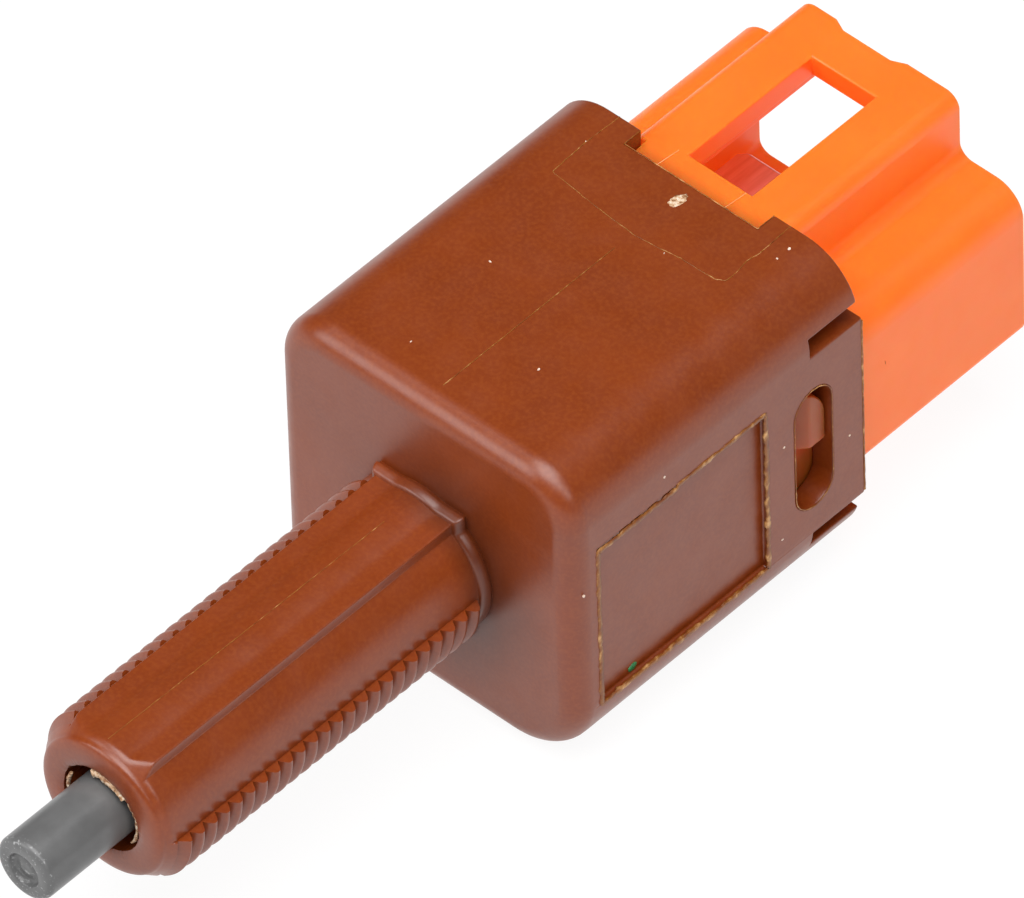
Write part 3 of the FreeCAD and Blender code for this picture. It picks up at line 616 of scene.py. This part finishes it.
def flash_tree():
    """A bead of uneven width along a line of edges."""
    tree, given, result = new_tree("flash_bead", [
        ("Width", "Float"), ("Spacing", "Float"), ("Waviness", "Float"), ("Seed", "Float"),
        ("Limit", "Vector"), ("Plastic", "Material"),
    ])
    path = add_node(tree, "GeometryNodeMeshToCurve", {"Mesh": given.outputs["Geometry"]})
    fine = add_node(tree, "GeometryNodeResampleCurve", {
        "Curve": path.outputs["Curve"],
        "Length": given.outputs["Spacing"],
    }, mode="LENGTH")
    place = add_node(tree, "GeometryNodeInputPosition").outputs["Position"]
    wave = add_node(tree, "ShaderNodeTexNoise", {
        "Vector": place, "W": given.outputs["Seed"], "Scale": 1 / (0.5 * MM), "Detail": 2.0,
    }, noise_dimensions="4D")
    centred = add_node(tree, "ShaderNodeVectorMath", {0: wave.outputs["Color"], 1: (0.5, 0.5, 0.5)},
                       operation="SUBTRACT")
    shift = add_node(tree, "ShaderNodeVectorMath", {
        0: centred.outputs["Vector"], "Scale": given.outputs["Waviness"],
    }, operation="SCALE")
    bent = add_node(tree, "GeometryNodeSetPosition", {
        "Geometry": fine.outputs["Curve"], "Offset": shift.outputs["Vector"],
    })
    thickness = add_node(tree, "ShaderNodeTexNoise", {
        "Vector": place, "W": given.outputs["Seed"], "Scale": 1 / (0.35 * MM), "Detail": 3.0,
    }, noise_dimensions="4D")
    share = add_node(tree, "ShaderNodeMapRange", {
        "Value": thickness.outputs["Fac"], "From Min": 0.3, "From Max": 0.7, "To Min": 0.4, "To Max": 1.0,
    })
    section = add_node(tree, "GeometryNodeCurvePrimitiveCircle", {
        "Resolution": 6, "Radius": given.outputs["Width"],
    })
    bead = add_node(tree, "GeometryNodeCurveToMesh", {
        "Curve": bent.outputs["Geometry"],
        "Profile Curve": section.outputs["Curve"],
        "Scale": share.outputs["Result"],
        "Fill Caps": True,
    })
    place = add_node(tree, "GeometryNodeInputPosition").outputs["Position"]
    lowest = add_node(tree, "ShaderNodeVectorMath", {0: given.outputs["Limit"], "Scale": -1.0}, operation="SCALE")
    above = add_node(tree, "ShaderNodeVectorMath", {0: place, 1: lowest.outputs["Vector"]}, operation="MAXIMUM")
    within = add_node(tree, "ShaderNodeVectorMath", {
        0: above.outputs["Vector"], 1: given.outputs["Limit"],
    }, operation="MINIMUM")
    flattened = add_node(tree, "GeometryNodeSetPosition", {
        "Geometry": bead.outputs["Mesh"], "Position": within.outputs["Vector"],
    })
    painted = add_node(tree, "GeometryNodeSetMaterial", {
        "Geometry": flattened.outputs["Geometry"], "Material": given.outputs["Plastic"],
    })
    tree.links.new(painted.outputs["Geometry"], result.inputs["Geometry"])
    return tree


def line_of(name, points, closed=False):
    """A piece that holds only the edges through some points given in millimetres."""
    mesh = bmesh.new()
    corners = [mesh.verts.new(Vector(point) * MM) for point in points]
    for one, other in zip(corners, corners[1:] + corners[:1] if closed else corners[1:]):
        mesh.edges.new((one, other))
    return new_piece(name, mesh)


HOUSE_TOP = housing_high.z / MM - 0.04
HOUSE_SIDE = housing_high.x / MM - 0.04
HOUSE_REAR = 23.25
TONGUE_REAR = 23.55
NOTCH_HALF = 4.95
NOTCH_FRONT = 21.9
RECESS_FRONT = 2.1
RECESS_REAR = 15.7
RECESS_TOP = 5.95
RECESS_BOTTOM = -6.33
RECESS_STEP = 0.25
STEP_PLACE = 8.6
SLOT_MIDDLE = 19.525
SLOT_RADIUS = 1.525
SLOT_TOP = 3.325
SLOT_BOTTOM = -2.775


def slot_outline(side):
    """The edge of the latch slot in one of the housing's sides."""
    turns = [math.pi * step / 10 for step in range(11)]
    upper = [(side, SLOT_MIDDLE + SLOT_RADIUS * math.cos(a), SLOT_TOP + SLOT_RADIUS * math.sin(a)) for a in turns]
    lower = [(side, SLOT_MIDDLE - SLOT_RADIUS * math.cos(a), SLOT_BOTTOM - SLOT_RADIUS * math.sin(a)) for a in turns]
    return upper + lower


insert_line = [
    (-6.5, HOUSE_REAR), (-6.6, 20.6), (-6.44, 17.69), (-3.73, 17.38), (-1.69, 17.18), (0.27, 17.07),
    (1.96, 17.25), (3.27, 17.43), (4.74, 17.45), (5.8, 17.51), (6.3, 17.77), (6.36, 18.27), (6.17, 19.73),
    (6.3, 20.61), (6.18, HOUSE_REAR),
]
notch_line = [
    (-NOTCH_HALF, HOUSE_REAR), (-NOTCH_HALF, NOTCH_FRONT), (NOTCH_HALF, NOTCH_FRONT), (NOTCH_HALF, HOUSE_REAR),
]
flash_lines = {
    "top_witness": (0.04, 0.05, 1.0, [(0.1, 1.76, HOUSE_TOP), (0.08, 9.0, HOUSE_TOP), (0.06, 15.67, HOUSE_TOP)]),
    "insert_witness": (0.04, 0.12, 2.0, [(x, y, HOUSE_TOP) for x, y in insert_line]),
    "notch_flash": (0.045, 0.04, 5.0, [(x, y, HOUSE_TOP - 0.03) for x, y in notch_line]),
    "stem_witness": (0.035, 0.05, 3.0, [(-0.08, -25.0, 4.75), (0, -17.8, 4.75), (0.1, -3.2, 4.75)]),
    "rear_flash_right": (0.1, 0.08, 6.0, [(HOUSE_SIDE, TONGUE_REAR, -6.2), (HOUSE_SIDE, TONGUE_REAR, 7.2)]),
    "rear_flash_left": (0.1, 0.08, 7.0, [(-HOUSE_SIDE, TONGUE_REAR, -6.2), (-HOUSE_SIDE, TONGUE_REAR, 7.2)]),
    "slot_flash_right": (0.05, 0.06, 8.0, slot_outline(HOUSE_SIDE)),
    "slot_flash_left": (0.05, 0.06, 9.0, slot_outline(-HOUSE_SIDE)),
    "recess_flash": (0.24, 0.2, 4.0, [
        (HOUSE_SIDE, RECESS_FRONT, RECESS_BOTTOM),
        (HOUSE_SIDE, RECESS_REAR, RECESS_BOTTOM),
        (HOUSE_SIDE, RECESS_REAR, RECESS_TOP),
        (HOUSE_SIDE, STEP_PLACE, RECESS_TOP),
        (HOUSE_SIDE, STEP_PLACE - 0.1, RECESS_TOP - RECESS_STEP),
        (HOUSE_SIDE, RECESS_FRONT, RECESS_TOP - RECESS_STEP),
    ]),
}
CLOSED_LINES = ("recess_flash", "slot_flash_right", "slot_flash_left")
flash = thin_flash()
flash_builder = flash_tree()


def add_bead(name, material, width, waviness, seed, points, closed=False):
    """A bead of flash through some points, kept inside the housing's overall box."""
    bead = line_of(name, points, closed)
    shaped_by(bead, flash_builder, {
        "Width": width * MM,
        "Spacing": 0.11 * MM,
        "Waviness": waviness * MM,
        "Seed": seed,
        "Limit": (housing_high.x, -housing_low.y, housing_high.z),
        "Plastic": material,
    })
    bead.data.shade_smooth()
    return dress(bead, material, "switch_body", "brown_pbt")


for name, (width, waviness, seed, points) in flash_lines.items():
    add_bead(name, flash, width, waviness, seed, points, name in CLOSED_LINES)


# Torn flash in the mouth
# At the mouth of the bore a pale, brittle curl of flash stands between the stem and the plunger, with a
# smaller ledge on the other side.
CURL_RADIUS = 2.52
CURL_PLACE = -25.8


def pale_flash():
    """Crumbled flash with dried grease in it: cream, dull and uneven."""
    material, tree, surface = new_material("crumbled_pale_flash")
    patch = object_noise(tree, 0.25 * MM, 4.0)
    tree.links.new(ramp(tree, patch, [(0.38, "8A5A38"), (0.5, "C9A27C"), (0.64, "EAD8C2")]),
                   surface.inputs["Base Color"])
    surface.inputs["Roughness"].default_value = 0.5
    satin_bump(tree, surface, 0.12 * MM, 0.02 * MM, 0.8)
    return material


def curl(start, end, depth):
    """Points round the mouth from one angle to another, in degrees."""
    turns = [math.radians(start + (end - start) * step / 10) for step in range(11)]
    return [(CURL_RADIUS * math.cos(a), CURL_PLACE + depth, CURL_RADIUS * math.sin(a)) for a in turns]


cream = pale_flash()
add_bead("mouth_curl", cream, 0.38, 0.2, 11.0, curl(102, 48, 0))
add_bead("mouth_edge", cream, 0.14, 0.24, 12.0, curl(50, -35, 0.1))
add_bead("mouth_ledge", cream, 0.16, 0.2, 13.0, curl(152, 186, 0))


# Marks of use
# A scuffed patch and some grains of pale dust sit on the top and on the right side, and a drop of green
# marking paint has dried in the recess.
GRAIN_PLACES = [
    (-3.47, 3.05, HOUSE_TOP), (-4.35, 10.37, HOUSE_TOP), (2.39, 17.11, HOUSE_TOP), (7.3, 20.9, HOUSE_TOP),
    (7.3, 21.9, HOUSE_TOP), (-6.62, 20.61, HOUSE_TOP), (3.2, 6.1, HOUSE_TOP), (HOUSE_SIDE, 7.52, 7.4),
    (HOUSE_SIDE, 17.1, 2.2), (HOUSE_SIDE, 16.8, -4.9), (HOUSE_SIDE, 22.4, -1.0), (HOUSE_SIDE, 0.9, 3.2),
]
GRAIN_RADIUS = 0.07


def pale_dust():
    """Dust of rubbed plastic: nearly white and matt."""
    material, tree, surface = new_material("pale_plastic_dust")
    tree.links.new(ramp(tree, object_noise(tree, 0.1 * MM), [(0.3, "E0BCA0"), (0.7, "F4E6DA")]),
                   surface.inputs["Base Color"])
    surface.inputs["Roughness"].default_value = 0.7
    return material


def grain_tree():
    """An uneven grain on every point, half sunk."""
    tree, given, result = new_tree("dust_grains", [
        ("Radius", "Float"), ("Seed", "Int"), ("Limit", "Vector"), ("Dust", "Material"),
    ])
    grain = add_node(tree, "GeometryNodeMeshIcoSphere", {"Radius": given.outputs["Radius"], "Subdivisions": 2})
    size = add_node(tree, "FunctionNodeRandomValue", data_type="FLOAT_VECTOR")
    size.inputs[0].default_value = (0.4, 0.4, 0.4)
    size.inputs[1].default_value = (1.5, 1.5, 1.5)
    tree.links.new(given.outputs["Seed"], size.inputs["Seed"])
    grains = add_node(tree, "GeometryNodeInstanceOnPoints", {
        "Points": given.outputs["Geometry"],
        "Instance": grain.outputs["Mesh"],
        "Scale": size.outputs[0],
    })
    solid = add_node(tree, "GeometryNodeRealizeInstances", {"Geometry": grains.outputs["Instances"]})
    place = add_node(tree, "GeometryNodeInputPosition").outputs["Position"]
    within = add_node(tree, "ShaderNodeVectorMath", {0: place, 1: given.outputs["Limit"]}, operation="MINIMUM")
    flattened = add_node(tree, "GeometryNodeSetPosition", {
        "Geometry": solid.outputs["Geometry"], "Position": within.outputs["Vector"],
    })
    painted = add_node(tree, "GeometryNodeSetMaterial", {
        "Geometry": flattened.outputs["Geometry"], "Material": given.outputs["Dust"],
    })
    tree.links.new(painted.outputs["Geometry"], result.inputs["Geometry"])
    return tree


def add_patch(name, material, middle, along, across, thick, seed):
    """A thin uneven patch on a face, spanned by two directions, with a rough rim and a flat back."""
    up = along.cross(across).normalized()
    mesh = bmesh.new()
    back = []
    rings = []
    for share, height in ((1.0, 0.0), (0.85, 0.7), (0.55, 1.0), (0.25, 0.9)):
        ring = []
        for step in range(40):
            angle = 2 * math.pi * step / 40
            rim = 1 + 0.3 * noise.noise(Vector((2.2 * math.cos(angle), 2.2 * math.sin(angle), seed)))
            spot = middle + (along * math.cos(angle) + across * math.sin(angle)) * rim * share
            uneven = 0.6 + 0.4 * noise.noise(spot / (0.12 * MM))
            ring.append(mesh.verts.new(spot + up * thick * height * uneven))
            if share == 1.0:
                back.append(mesh.verts.new(spot - up * thick))
        rings.append(ring)
    for one, other in zip([back] + rings, rings):
        for step in range(40):
            after = (step + 1) % 40
            mesh.faces.new((one[step], one[after], other[after], other[step]))
    mesh.faces.new(rings[-1])
    mesh.faces.new(back)
    bmesh.ops.recalc_face_normals(mesh, faces=mesh.faces)
    piece = new_piece(name, mesh)
    piece.data.shade_smooth()
    return dress(piece, material, "switch_body", "brown_pbt")


dust = pale_dust()
grains = line_of("dust_grains", GRAIN_PLACES)
shaped_by(grains, grain_tree(), {
    "Radius": GRAIN_RADIUS * MM,
    "Seed": 5,
    "Limit": (housing_high.x, -housing_low.y, housing_high.z),
    "Dust": dust,
})
dress(grains, dust, "switch_body", "brown_pbt")
add_patch("scuffed_patch", cream, Vector((0.22, 20.6, HOUSE_TOP)) * MM, Vector((0.1, 0.62, 0)) * MM,
          Vector((-0.36, 0.05, 0)) * MM, 0.03 * MM, 3.0)


def marking_paint():
    """Dried marking paint: a strong green with a little gloss."""
    material, tree, surface = new_material("dried_green_paint")
    tree.links.new(ramp(tree, object_noise(tree, 0.2 * MM), [(0.3, "1E6B3A"), (0.7, "2F8A50")]),
                   surface.inputs["Base Color"])
    surface.inputs["Roughness"].default_value = 0.3
    return material


add_patch("paint_drop", marking_paint(), Vector((10.68, 4.98, -5.95)) * MM, Vector((0, 0.33, 0.1)) * MM,
          Vector((0, -0.06, 0.24)) * MM, 0.06 * MM, 7.0)


# Connector base
# The base is moulded in bright orange PBT, unfilled and a little glossier than the housing. It snaps
# into the housing's rear, takes the wiring plug from behind, and holds it with the bridge's window.
def orange_pbt():
    """Unfilled orange PBT, with a painted orange glow outside the housing and painted shade inside it."""
    material, tree, surface = new_material("moulded_orange_pbt")
    cloud = object_noise(tree, 5 * MM, 2.0)
    colour = ramp(tree, cloud, [(0.3, "DE711E"), (0.7, "E27722")])
    place = add_node(tree, "ShaderNodeTexCoord").outputs["Object"]
    # painted glow: emission strength that rises from nothing inside the housing to 0.22 at its rear
    painted_glow = add_node(tree, "ShaderNodeMapRange", {
        "Value": add_node(tree, "ShaderNodeSeparateXYZ", {"Vector": place}).outputs["Y"],
        "From Min": 21.8 * MM,
        "From Max": 23.4 * MM,
        "To Min": 0.0,
        "To Max": 0.22,
    }).outputs["Result"]
    # painted shade: darker orange A04A14 inside the housing, fading out towards its rear
    painted_shade_fade = add_node(tree, "ShaderNodeMath", {0: 4.6, 1: painted_glow}, operation="MULTIPLY").outputs[0]
    colour = blended(tree, painted_shade_fade, linear("A04A14"), colour)
    tree.links.new(painted_glow, surface.inputs["Emission Strength"])
    tree.links.new(colour, surface.inputs["Base Color"])
    wear = object_noise(tree, 1.2 * MM, 3.0)
    tree.links.new(ramp(tree, wear, [(0.3, 0.36), (0.7, 0.44)]), surface.inputs["Roughness"])
    surface.inputs["IOR"].default_value = 1.5
    surface.inputs["Subsurface Weight"].default_value = 0.7
    surface.inputs["Subsurface Radius"].default_value = (1.0, 0.25, 0.05)
    surface.inputs["Subsurface Scale"].default_value = 3 * MM
    # the colour of the painted glow
    surface.inputs["Emission Color"].default_value = linear("FF5010")
    satin_bump(tree, surface, 0.3 * MM, 0.004 * MM, 0.4)
    return material


SOCKET_FLOOR = 24.7
SOCKET_SIDE = 8.76
SOCKET_TOP = 4.36
SOCKET_BOTTOM = -3.18
CHANNEL_SIDE = 4.4
CHANNEL_TOP = 9.2
THINNING = 0.6
LEAD_IN_LEFT = ((37.4, -3.3), (36.9, -2.45))
LEAD_IN_RIGHT = ((37.4, 1.95), (36.9, 1.05))


def refine_socket(piece):
    """Thins the walls round the socket and widens the shallow lead-in behind the window."""
    for vertex in piece.data.vertices:
        x, y, z = vertex.co / MM
        in_socket = abs(x) < SOCKET_SIDE and SOCKET_BOTTOM < z < SOCKET_TOP
        in_channel = abs(x) < CHANNEL_SIDE and SOCKET_BOTTOM < z < CHANNEL_TOP
        if y > SOCKET_FLOOR and in_socket and abs(x) > SOCKET_SIDE - 1.2:
            vertex.co.x += math.copysign(THINNING, x) * MM
        if y > SOCKET_FLOOR and in_channel and abs(x) > CHANNEL_SIDE - 0.1:
            vertex.co.x += math.copysign(THINNING, x) * MM
        if y > SOCKET_FLOOR and in_socket and z > SOCKET_TOP - 1.2:
            vertex.co.z += THINNING * MM
        if y > SOCKET_FLOOR and in_socket and z < SOCKET_BOTTOM + 1.2:
            vertex.co.z -= THINNING * MM
        if z > CHANNEL_TOP - 0.3 and 1.8 < abs(x) < 2.0:
            for rear, place in LEAD_IN_LEFT if x < 0 else LEAD_IN_RIGHT:
                if rear < y < rear + 0.3:
                    vertex.co.x = place * MM


orange = orange_pbt()
base = merged_copy("connector_base", "connector_shroud")
refine_socket(base)
soften_edges(base, EDGE_SOFTENING)
dress(base, orange, "switch_body", "orange_pbt", "connector_base")


# Seams of the base
# The base's tool parted along the shroud's side, and its slides left two short lines on the front bar.
def thin_orange():
    """Thin orange PBT at a parting line: paler than the body."""
    material, tree, surface = new_material("thin_orange_pbt")
    tree.links.new(ramp(tree, object_noise(tree, 0.4 * MM), [(0.3, "EE9A58"), (0.7, "F4B07C")]),
                   surface.inputs["Base Color"])
    surface.inputs["Roughness"].default_value = 0.45
    return material


pale_orange = thin_orange()
base_seams = {
    "shroud_seam_right": (0.035, 0.05, 21.0, [(10.5, 27.3, 1.48), (10.5, 32.0, 1.6), (10.5, 37.0, 1.71)]),
    "shroud_seam_left": (0.035, 0.05, 22.0, [(-10.5, 27.3, 1.48), (-10.5, 32.0, 1.6), (-10.5, 37.0, 1.71)]),
    "bar_seam_left": (0.035, 0.03, 23.0, [(-3.18, 22.4, 10.56), (-3.01, 24.2, 10.56)]),
    "bar_seam_right": (0.035, 0.03, 24.0, [(1.84, 22.4, 10.56), (1.99, 24.2, 10.56)]),
}
for name, (width, waviness, seed, points) in base_seams.items():
    seam = add_bead(name, pale_orange, width, waviness, seed, points)


# Terminals
# Each terminal is one stamping of tinned brass, with a bevelled blade in the socket and an arm along
# the housing's wall. The base is moulded round them.
def tinned_brass():
    """Dull tin over brass, with fine rolling lines, and a painted red glow for the light that comes through the
    orange walls.
    """
    material, tree, surface = new_material("tinned_rolled_brass")
    lines = object_noise(tree, 0.3 * MM, 3.0, stretch=(1, 0.08, 1))
    tree.links.new(ramp(tree, lines, [(0.3, "A8A6A2"), (0.7, "C6C4C0")]), surface.inputs["Base Color"])
    tree.links.new(ramp(tree, lines, [(0.3, 0.5), (0.7, 0.6)]), surface.inputs["Roughness"])
    surface.inputs["Metallic"].default_value = 1.0
    # painted glow: red emission in place of the light through the orange walls
    surface.inputs["Emission Color"].default_value = linear("FF3C10")
    surface.inputs["Emission Strength"].default_value = 0.35
    return material


tin = tinned_brass()
for side in ("right", "left"):
    terminal = merged_copy("terminal_" + side, "blade_terminal_" + side)
    soften_edges(terminal, 0.06 * MM)
    dress(terminal, tin, "switch_body", "tinned_brass", "terminal_" + side)


# Plunger
# The plunger is a grey acetal pin with a rounded end and a shallow dimple left by its gate. It slides in
# the stem's bore, and its end is rubbed pale by the pedal.
PLUNGER_STEPS = 96
END_ROUNDING = 0.4 * MM


def grey_acetal():
    """Acetal: a smooth, slightly waxy grey, paler in small scuffs near the pedal's end."""
    material, tree, surface = new_material("turned_grey_acetal")
    plain = ramp(tree, object_noise(tree, 2 * MM, 3.0), [(0.3, "5A5A5A"), (0.7, "666666")])
    scuff = object_noise(tree, 0.18 * MM, 4.0)
    place = add_node(tree, "ShaderNodeTexCoord").outputs["Object"]
    along = add_node(tree, "ShaderNodeSeparateXYZ", {"Vector": place}).outputs["Y"]
    at_end = add_node(tree, "ShaderNodeMapRange", {
        "Value": along,
        "From Min": plunger_low.y + 0.1 * MM,
        "From Max": plunger_low.y + 0.7 * MM,
        "To Min": 1.0,
        "To Max": 0.0,
    })
    worn = add_node(tree, "ShaderNodeMath", {
        0: ramp(tree, scuff, [(0.6, 0.0), (0.7, 0.8)]), 1: at_end.outputs["Result"],
    }, operation="MULTIPLY")
    tree.links.new(blended(tree, worn.outputs[0], plain, linear("B4B4B4")), surface.inputs["Base Color"])
    surface.inputs["Roughness"].default_value = 0.3
    surface.inputs["IOR"].default_value = 1.5
    satin_bump(tree, surface, 0.2 * MM, 0.01 * MM, 0.5)
    return material


plunger_low, plunger_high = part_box("plunger")
PIN_RADIUS = 2.03 * MM
HEAD_RADIUS = plunger_high.x
HEAD_FRONT = 1.6 * MM
DIMPLE_PROFILE = [
    (0.0, 0.26), (0.2, 0.28), (0.35, 0.24), (0.5, 0.3), (0.65, 0.33), (0.78, 0.36), (0.92, 0.34), (1.02, 0.24),
    (1.08, 0.1), (1.12, 0.03), (1.18, 0.0),
]
pin_outline = [(radius * MM, plunger_low.y + depth * MM) for radius, depth in DIMPLE_PROFILE]
for arc in quarter(7):
    pin_outline.append((
        PIN_RADIUS - END_ROUNDING * (1 - math.sin(arc)),
        plunger_low.y + END_ROUNDING * (1 - math.cos(arc)),
    ))
pin_outline += [(PIN_RADIUS, HEAD_FRONT), (HEAD_RADIUS, HEAD_FRONT), (HEAD_RADIUS, plunger_high.y)]
pin_outline += [(0.0, plunger_high.y)]
pin_mesh = bmesh.new()
points = [pin_mesh.verts.new((radius, place, 0)) for radius, place in pin_outline]
for one, other in zip(points, points[1:]):
    pin_mesh.edges.new((one, other))
bmesh.ops.spin(pin_mesh, geom=pin_mesh.verts[:] + pin_mesh.edges[:], cent=(0, 0, 0), axis=(0, 1, 0),
               angle=2 * math.pi, steps=PLUNGER_STEPS, use_merge=True)
bmesh.ops.remove_doubles(pin_mesh, verts=pin_mesh.verts, dist=MERGE_DISTANCE)
bmesh.ops.recalc_face_normals(pin_mesh, faces=pin_mesh.faces)
plunger = new_piece("plunger_pin", pin_mesh)
plunger.data.shade_smooth()
plunger.data.set_sharp_from_angle(angle=math.radians(40))
dress(plunger, grey_acetal(), "plunger_set", "grey_pom", "plunger")


# Contact carrier
# A white acetal frame, pushed by the plunger, that holds the contact strip across its window.
def white_acetal():
    """Natural acetal: milky white with a soft sheen."""
    material, tree, surface = new_material("moulded_white_acetal")
    cloud = object_noise(tree, 2 * MM, 2.0)
    tree.links.new(ramp(tree, cloud, [(0.3, "E2E0D8"), (0.7, "ECEAE4")]), surface.inputs["Base Color"])
    surface.inputs["Roughness"].default_value = 0.4
    surface.inputs["IOR"].default_value = 1.48
    satin_bump(tree, surface, 0.3 * MM, 0.004 * MM, 0.4)
    return material


carrier = merged_copy("contact_carrier", "carrier_frame")
soften_edges(carrier, 0.1 * MM)
dress(carrier, white_acetal(), "plunger_set", "white_pom", "contact_carrier")


# Contacts
# The bridge is a strip of copper alloy, and the four rivets are silver alloy, pressed into the strip and
# into the terminals' pads.
def rolled_metal(name, dark, pale):
    """Bright rolled strip with its fine lines along X."""
    material, tree, surface = new_material(name)
    lines = object_noise(tree, 0.25 * MM, 3.0, stretch=(0.08, 1, 1))
    tree.links.new(ramp(tree, lines, [(0.3, dark), (0.7, pale)]), surface.inputs["Base Color"])
    tree.links.new(ramp(tree, lines, [(0.3, 0.25), (0.7, 0.38)]), surface.inputs["Roughness"])
    surface.inputs["Metallic"].default_value = 1.0
    return material


strip = merged_copy("contact_bridge", "contact_strip")
soften_edges(strip, 0.06 * MM)
dress(strip, rolled_metal("rolled_copper_alloy", "B86A48", "D08460"), "bridge_set", "copper_strip",
      "contact_bridge")
silver = rolled_metal("pressed_silver_alloy", "C4C4C2", "DEDEDC")
for kind, body in (("bridge_button", "bridge_set"), ("fixed_button", "switch_body")):
    for side in ("right", "left"):
        button = merged_copy(kind + "_" + side, kind + "_rivet_" + side)
        soften_edges(button, 0.08 * MM)
        dress(button, silver, body, "silver_contact", kind + "_" + side)


# Springs
# Both springs are wound from bright round steel wire. The long one returns the plunger from a well in
# the base, and the short one presses the contact strip forward.
def spring_steel():
    """Drawn spring wire: bright grey with a soft drawn streak."""
    material, tree, surface = new_material("drawn_spring_steel")
    cloud = object_noise(tree, 0.4 * MM, 2.0)
    tree.links.new(ramp(tree, cloud, [(0.3, "9A9A9C"), (0.7, "B4B4B6")]), surface.inputs["Base Color"])
    surface.inputs["Metallic"].default_value = 1.0
    surface.inputs["Roughness"].default_value = 0.3
    return material


def spring_tree():
    """Round wire wound along +Y from the piece's first point."""
    tree, given, result = new_tree("wound_spring", [
        ("Turns", "Float"), ("Coil Radius", "Float"), ("Wire Radius", "Float"), ("Height", "Float"),
        ("Start", "Float"), ("Steel", "Material"),
    ])
    coil = add_node(tree, "GeometryNodeCurveSpiral", {
        "Resolution": 40,
        "Rotations": given.outputs["Turns"],
        "Start Radius": given.outputs["Coil Radius"],
        "End Radius": given.outputs["Coil Radius"],
        "Height": given.outputs["Height"],
    })
    wire = add_node(tree, "GeometryNodeCurvePrimitiveCircle", {"Resolution": 12, "Radius": given.outputs["Wire Radius"]})
    solid = add_node(tree, "GeometryNodeCurveToMesh", {
        "Curve": coil.outputs["Curve"], "Profile Curve": wire.outputs["Curve"], "Fill Caps": True,
    })
    start = add_node(tree, "ShaderNodeCombineXYZ", {"Y": given.outputs["Start"]})
    laid = add_node(tree, "GeometryNodeTransform", {
        "Geometry": solid.outputs["Mesh"],
        "Translation": start.outputs["Vector"],
        "Rotation": (math.radians(-90), 0, 0),
    })
    painted = add_node(tree, "GeometryNodeSetMaterial", {
        "Geometry": laid.outputs["Geometry"], "Material": given.outputs["Steel"],
    })
    tree.links.new(painted.outputs["Geometry"], result.inputs["Geometry"])
    return tree


steel = spring_steel()
spring_builder = spring_tree()
springs = {
    "return_spring": ("return_coil", 5.5, 0.28, "switch_body", "plunger_slide", 0.005),
    "contact_spring": ("contact_coil", 3.5, 0.2, "plunger_set", "bridge_slide", 0.0041 - 0.005),
}
for node, (name, turns, wire, body, joint, travel) in springs.items():
    low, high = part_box(node)
    spring = line_of(name, [(0, 0, 0), (0, 1, 0)])
    shaped_by(spring, spring_builder, {
        "Turns": turns,
        "Coil Radius": high.x - wire * MM,
        "Wire Radius": wire * MM,
        "Height": high.y - low.y - 2 * wire * MM,
        "Start": low.y + wire * MM,
        "Steel": steel,
    })
    spring.data.shade_smooth()
    dress(spring, steel, body, "spring_steel", node)
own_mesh(bpy.data.objects["return_coil"])


# Floor and light
# A plain white table, lit by a large soft box overhead and two lower ones, in a dim white room.
def white_table():
    """Matt white card that stays nearly white in the soft shadows."""
    material, tree, surface = new_material("matt_white_card")
    tone = object_noise(tree, 40 * MM, 1.0)
    tree.links.new(ramp(tree, tone, [(0.3, 0.08), (0.7, 0.09)]), surface.inputs["Base Color"])
    surface.inputs["Roughness"].default_value = 0.9
    surface.inputs["Emission Color"].default_value = (1, 1, 1, 1)
    surface.inputs["Emission Strength"].default_value = 0.92
    return material


FLOOR_HALF = 8.0
floor_mesh = bmesh.new()
bmesh.ops.create_grid(floor_mesh, x_segments=1, y_segments=1, size=FLOOR_HALF)
floor = new_piece("floor", floor_mesh)
floor.data.transform(Matrix.Translation((0, 0, cad_low.z)))
floor.data.materials.append(white_table())


def soft_box(name, azimuth, elevation, away, size, power):
    """A square area light that looks at the object from an azimuth and an elevation in degrees."""
    a, e = math.radians(azimuth), math.radians(elevation)
    toward = Vector((math.sin(a) * math.cos(e), -math.cos(a) * math.cos(e), math.sin(e)))
    lamp = bpy.data.lights.new(name, "AREA")
    lamp.shape = "SQUARE"
    lamp.size = size
    lamp.energy = power
    light = bpy.data.objects.new(name, lamp)
    bpy.context.scene.collection.objects.link(light)
    light.matrix_world = Matrix.Translation(toward * away) @ toward.to_track_quat("Z", "Y").to_matrix().to_4x4()
    return light


soft_box("overhead_box", 28, 75, 1.0, 0.9, 13.5)
soft_box("left_box", -34, 31, 1.1, 0.6, 4.4)
soft_box("right_box", 80, 38, 1.1, 0.42, 2.0)
world = bpy.data.worlds.new("dim_white_room")
world.use_nodes = True
world.node_tree.nodes["Background"].inputs["Color"].default_value = (1, 1, 1, 1)
world.node_tree.nodes["Background"].inputs["Strength"].default_value = 0.08
bpy.context.scene.world = world
bpy.context.scene.view_settings.view_transform = "Standard"
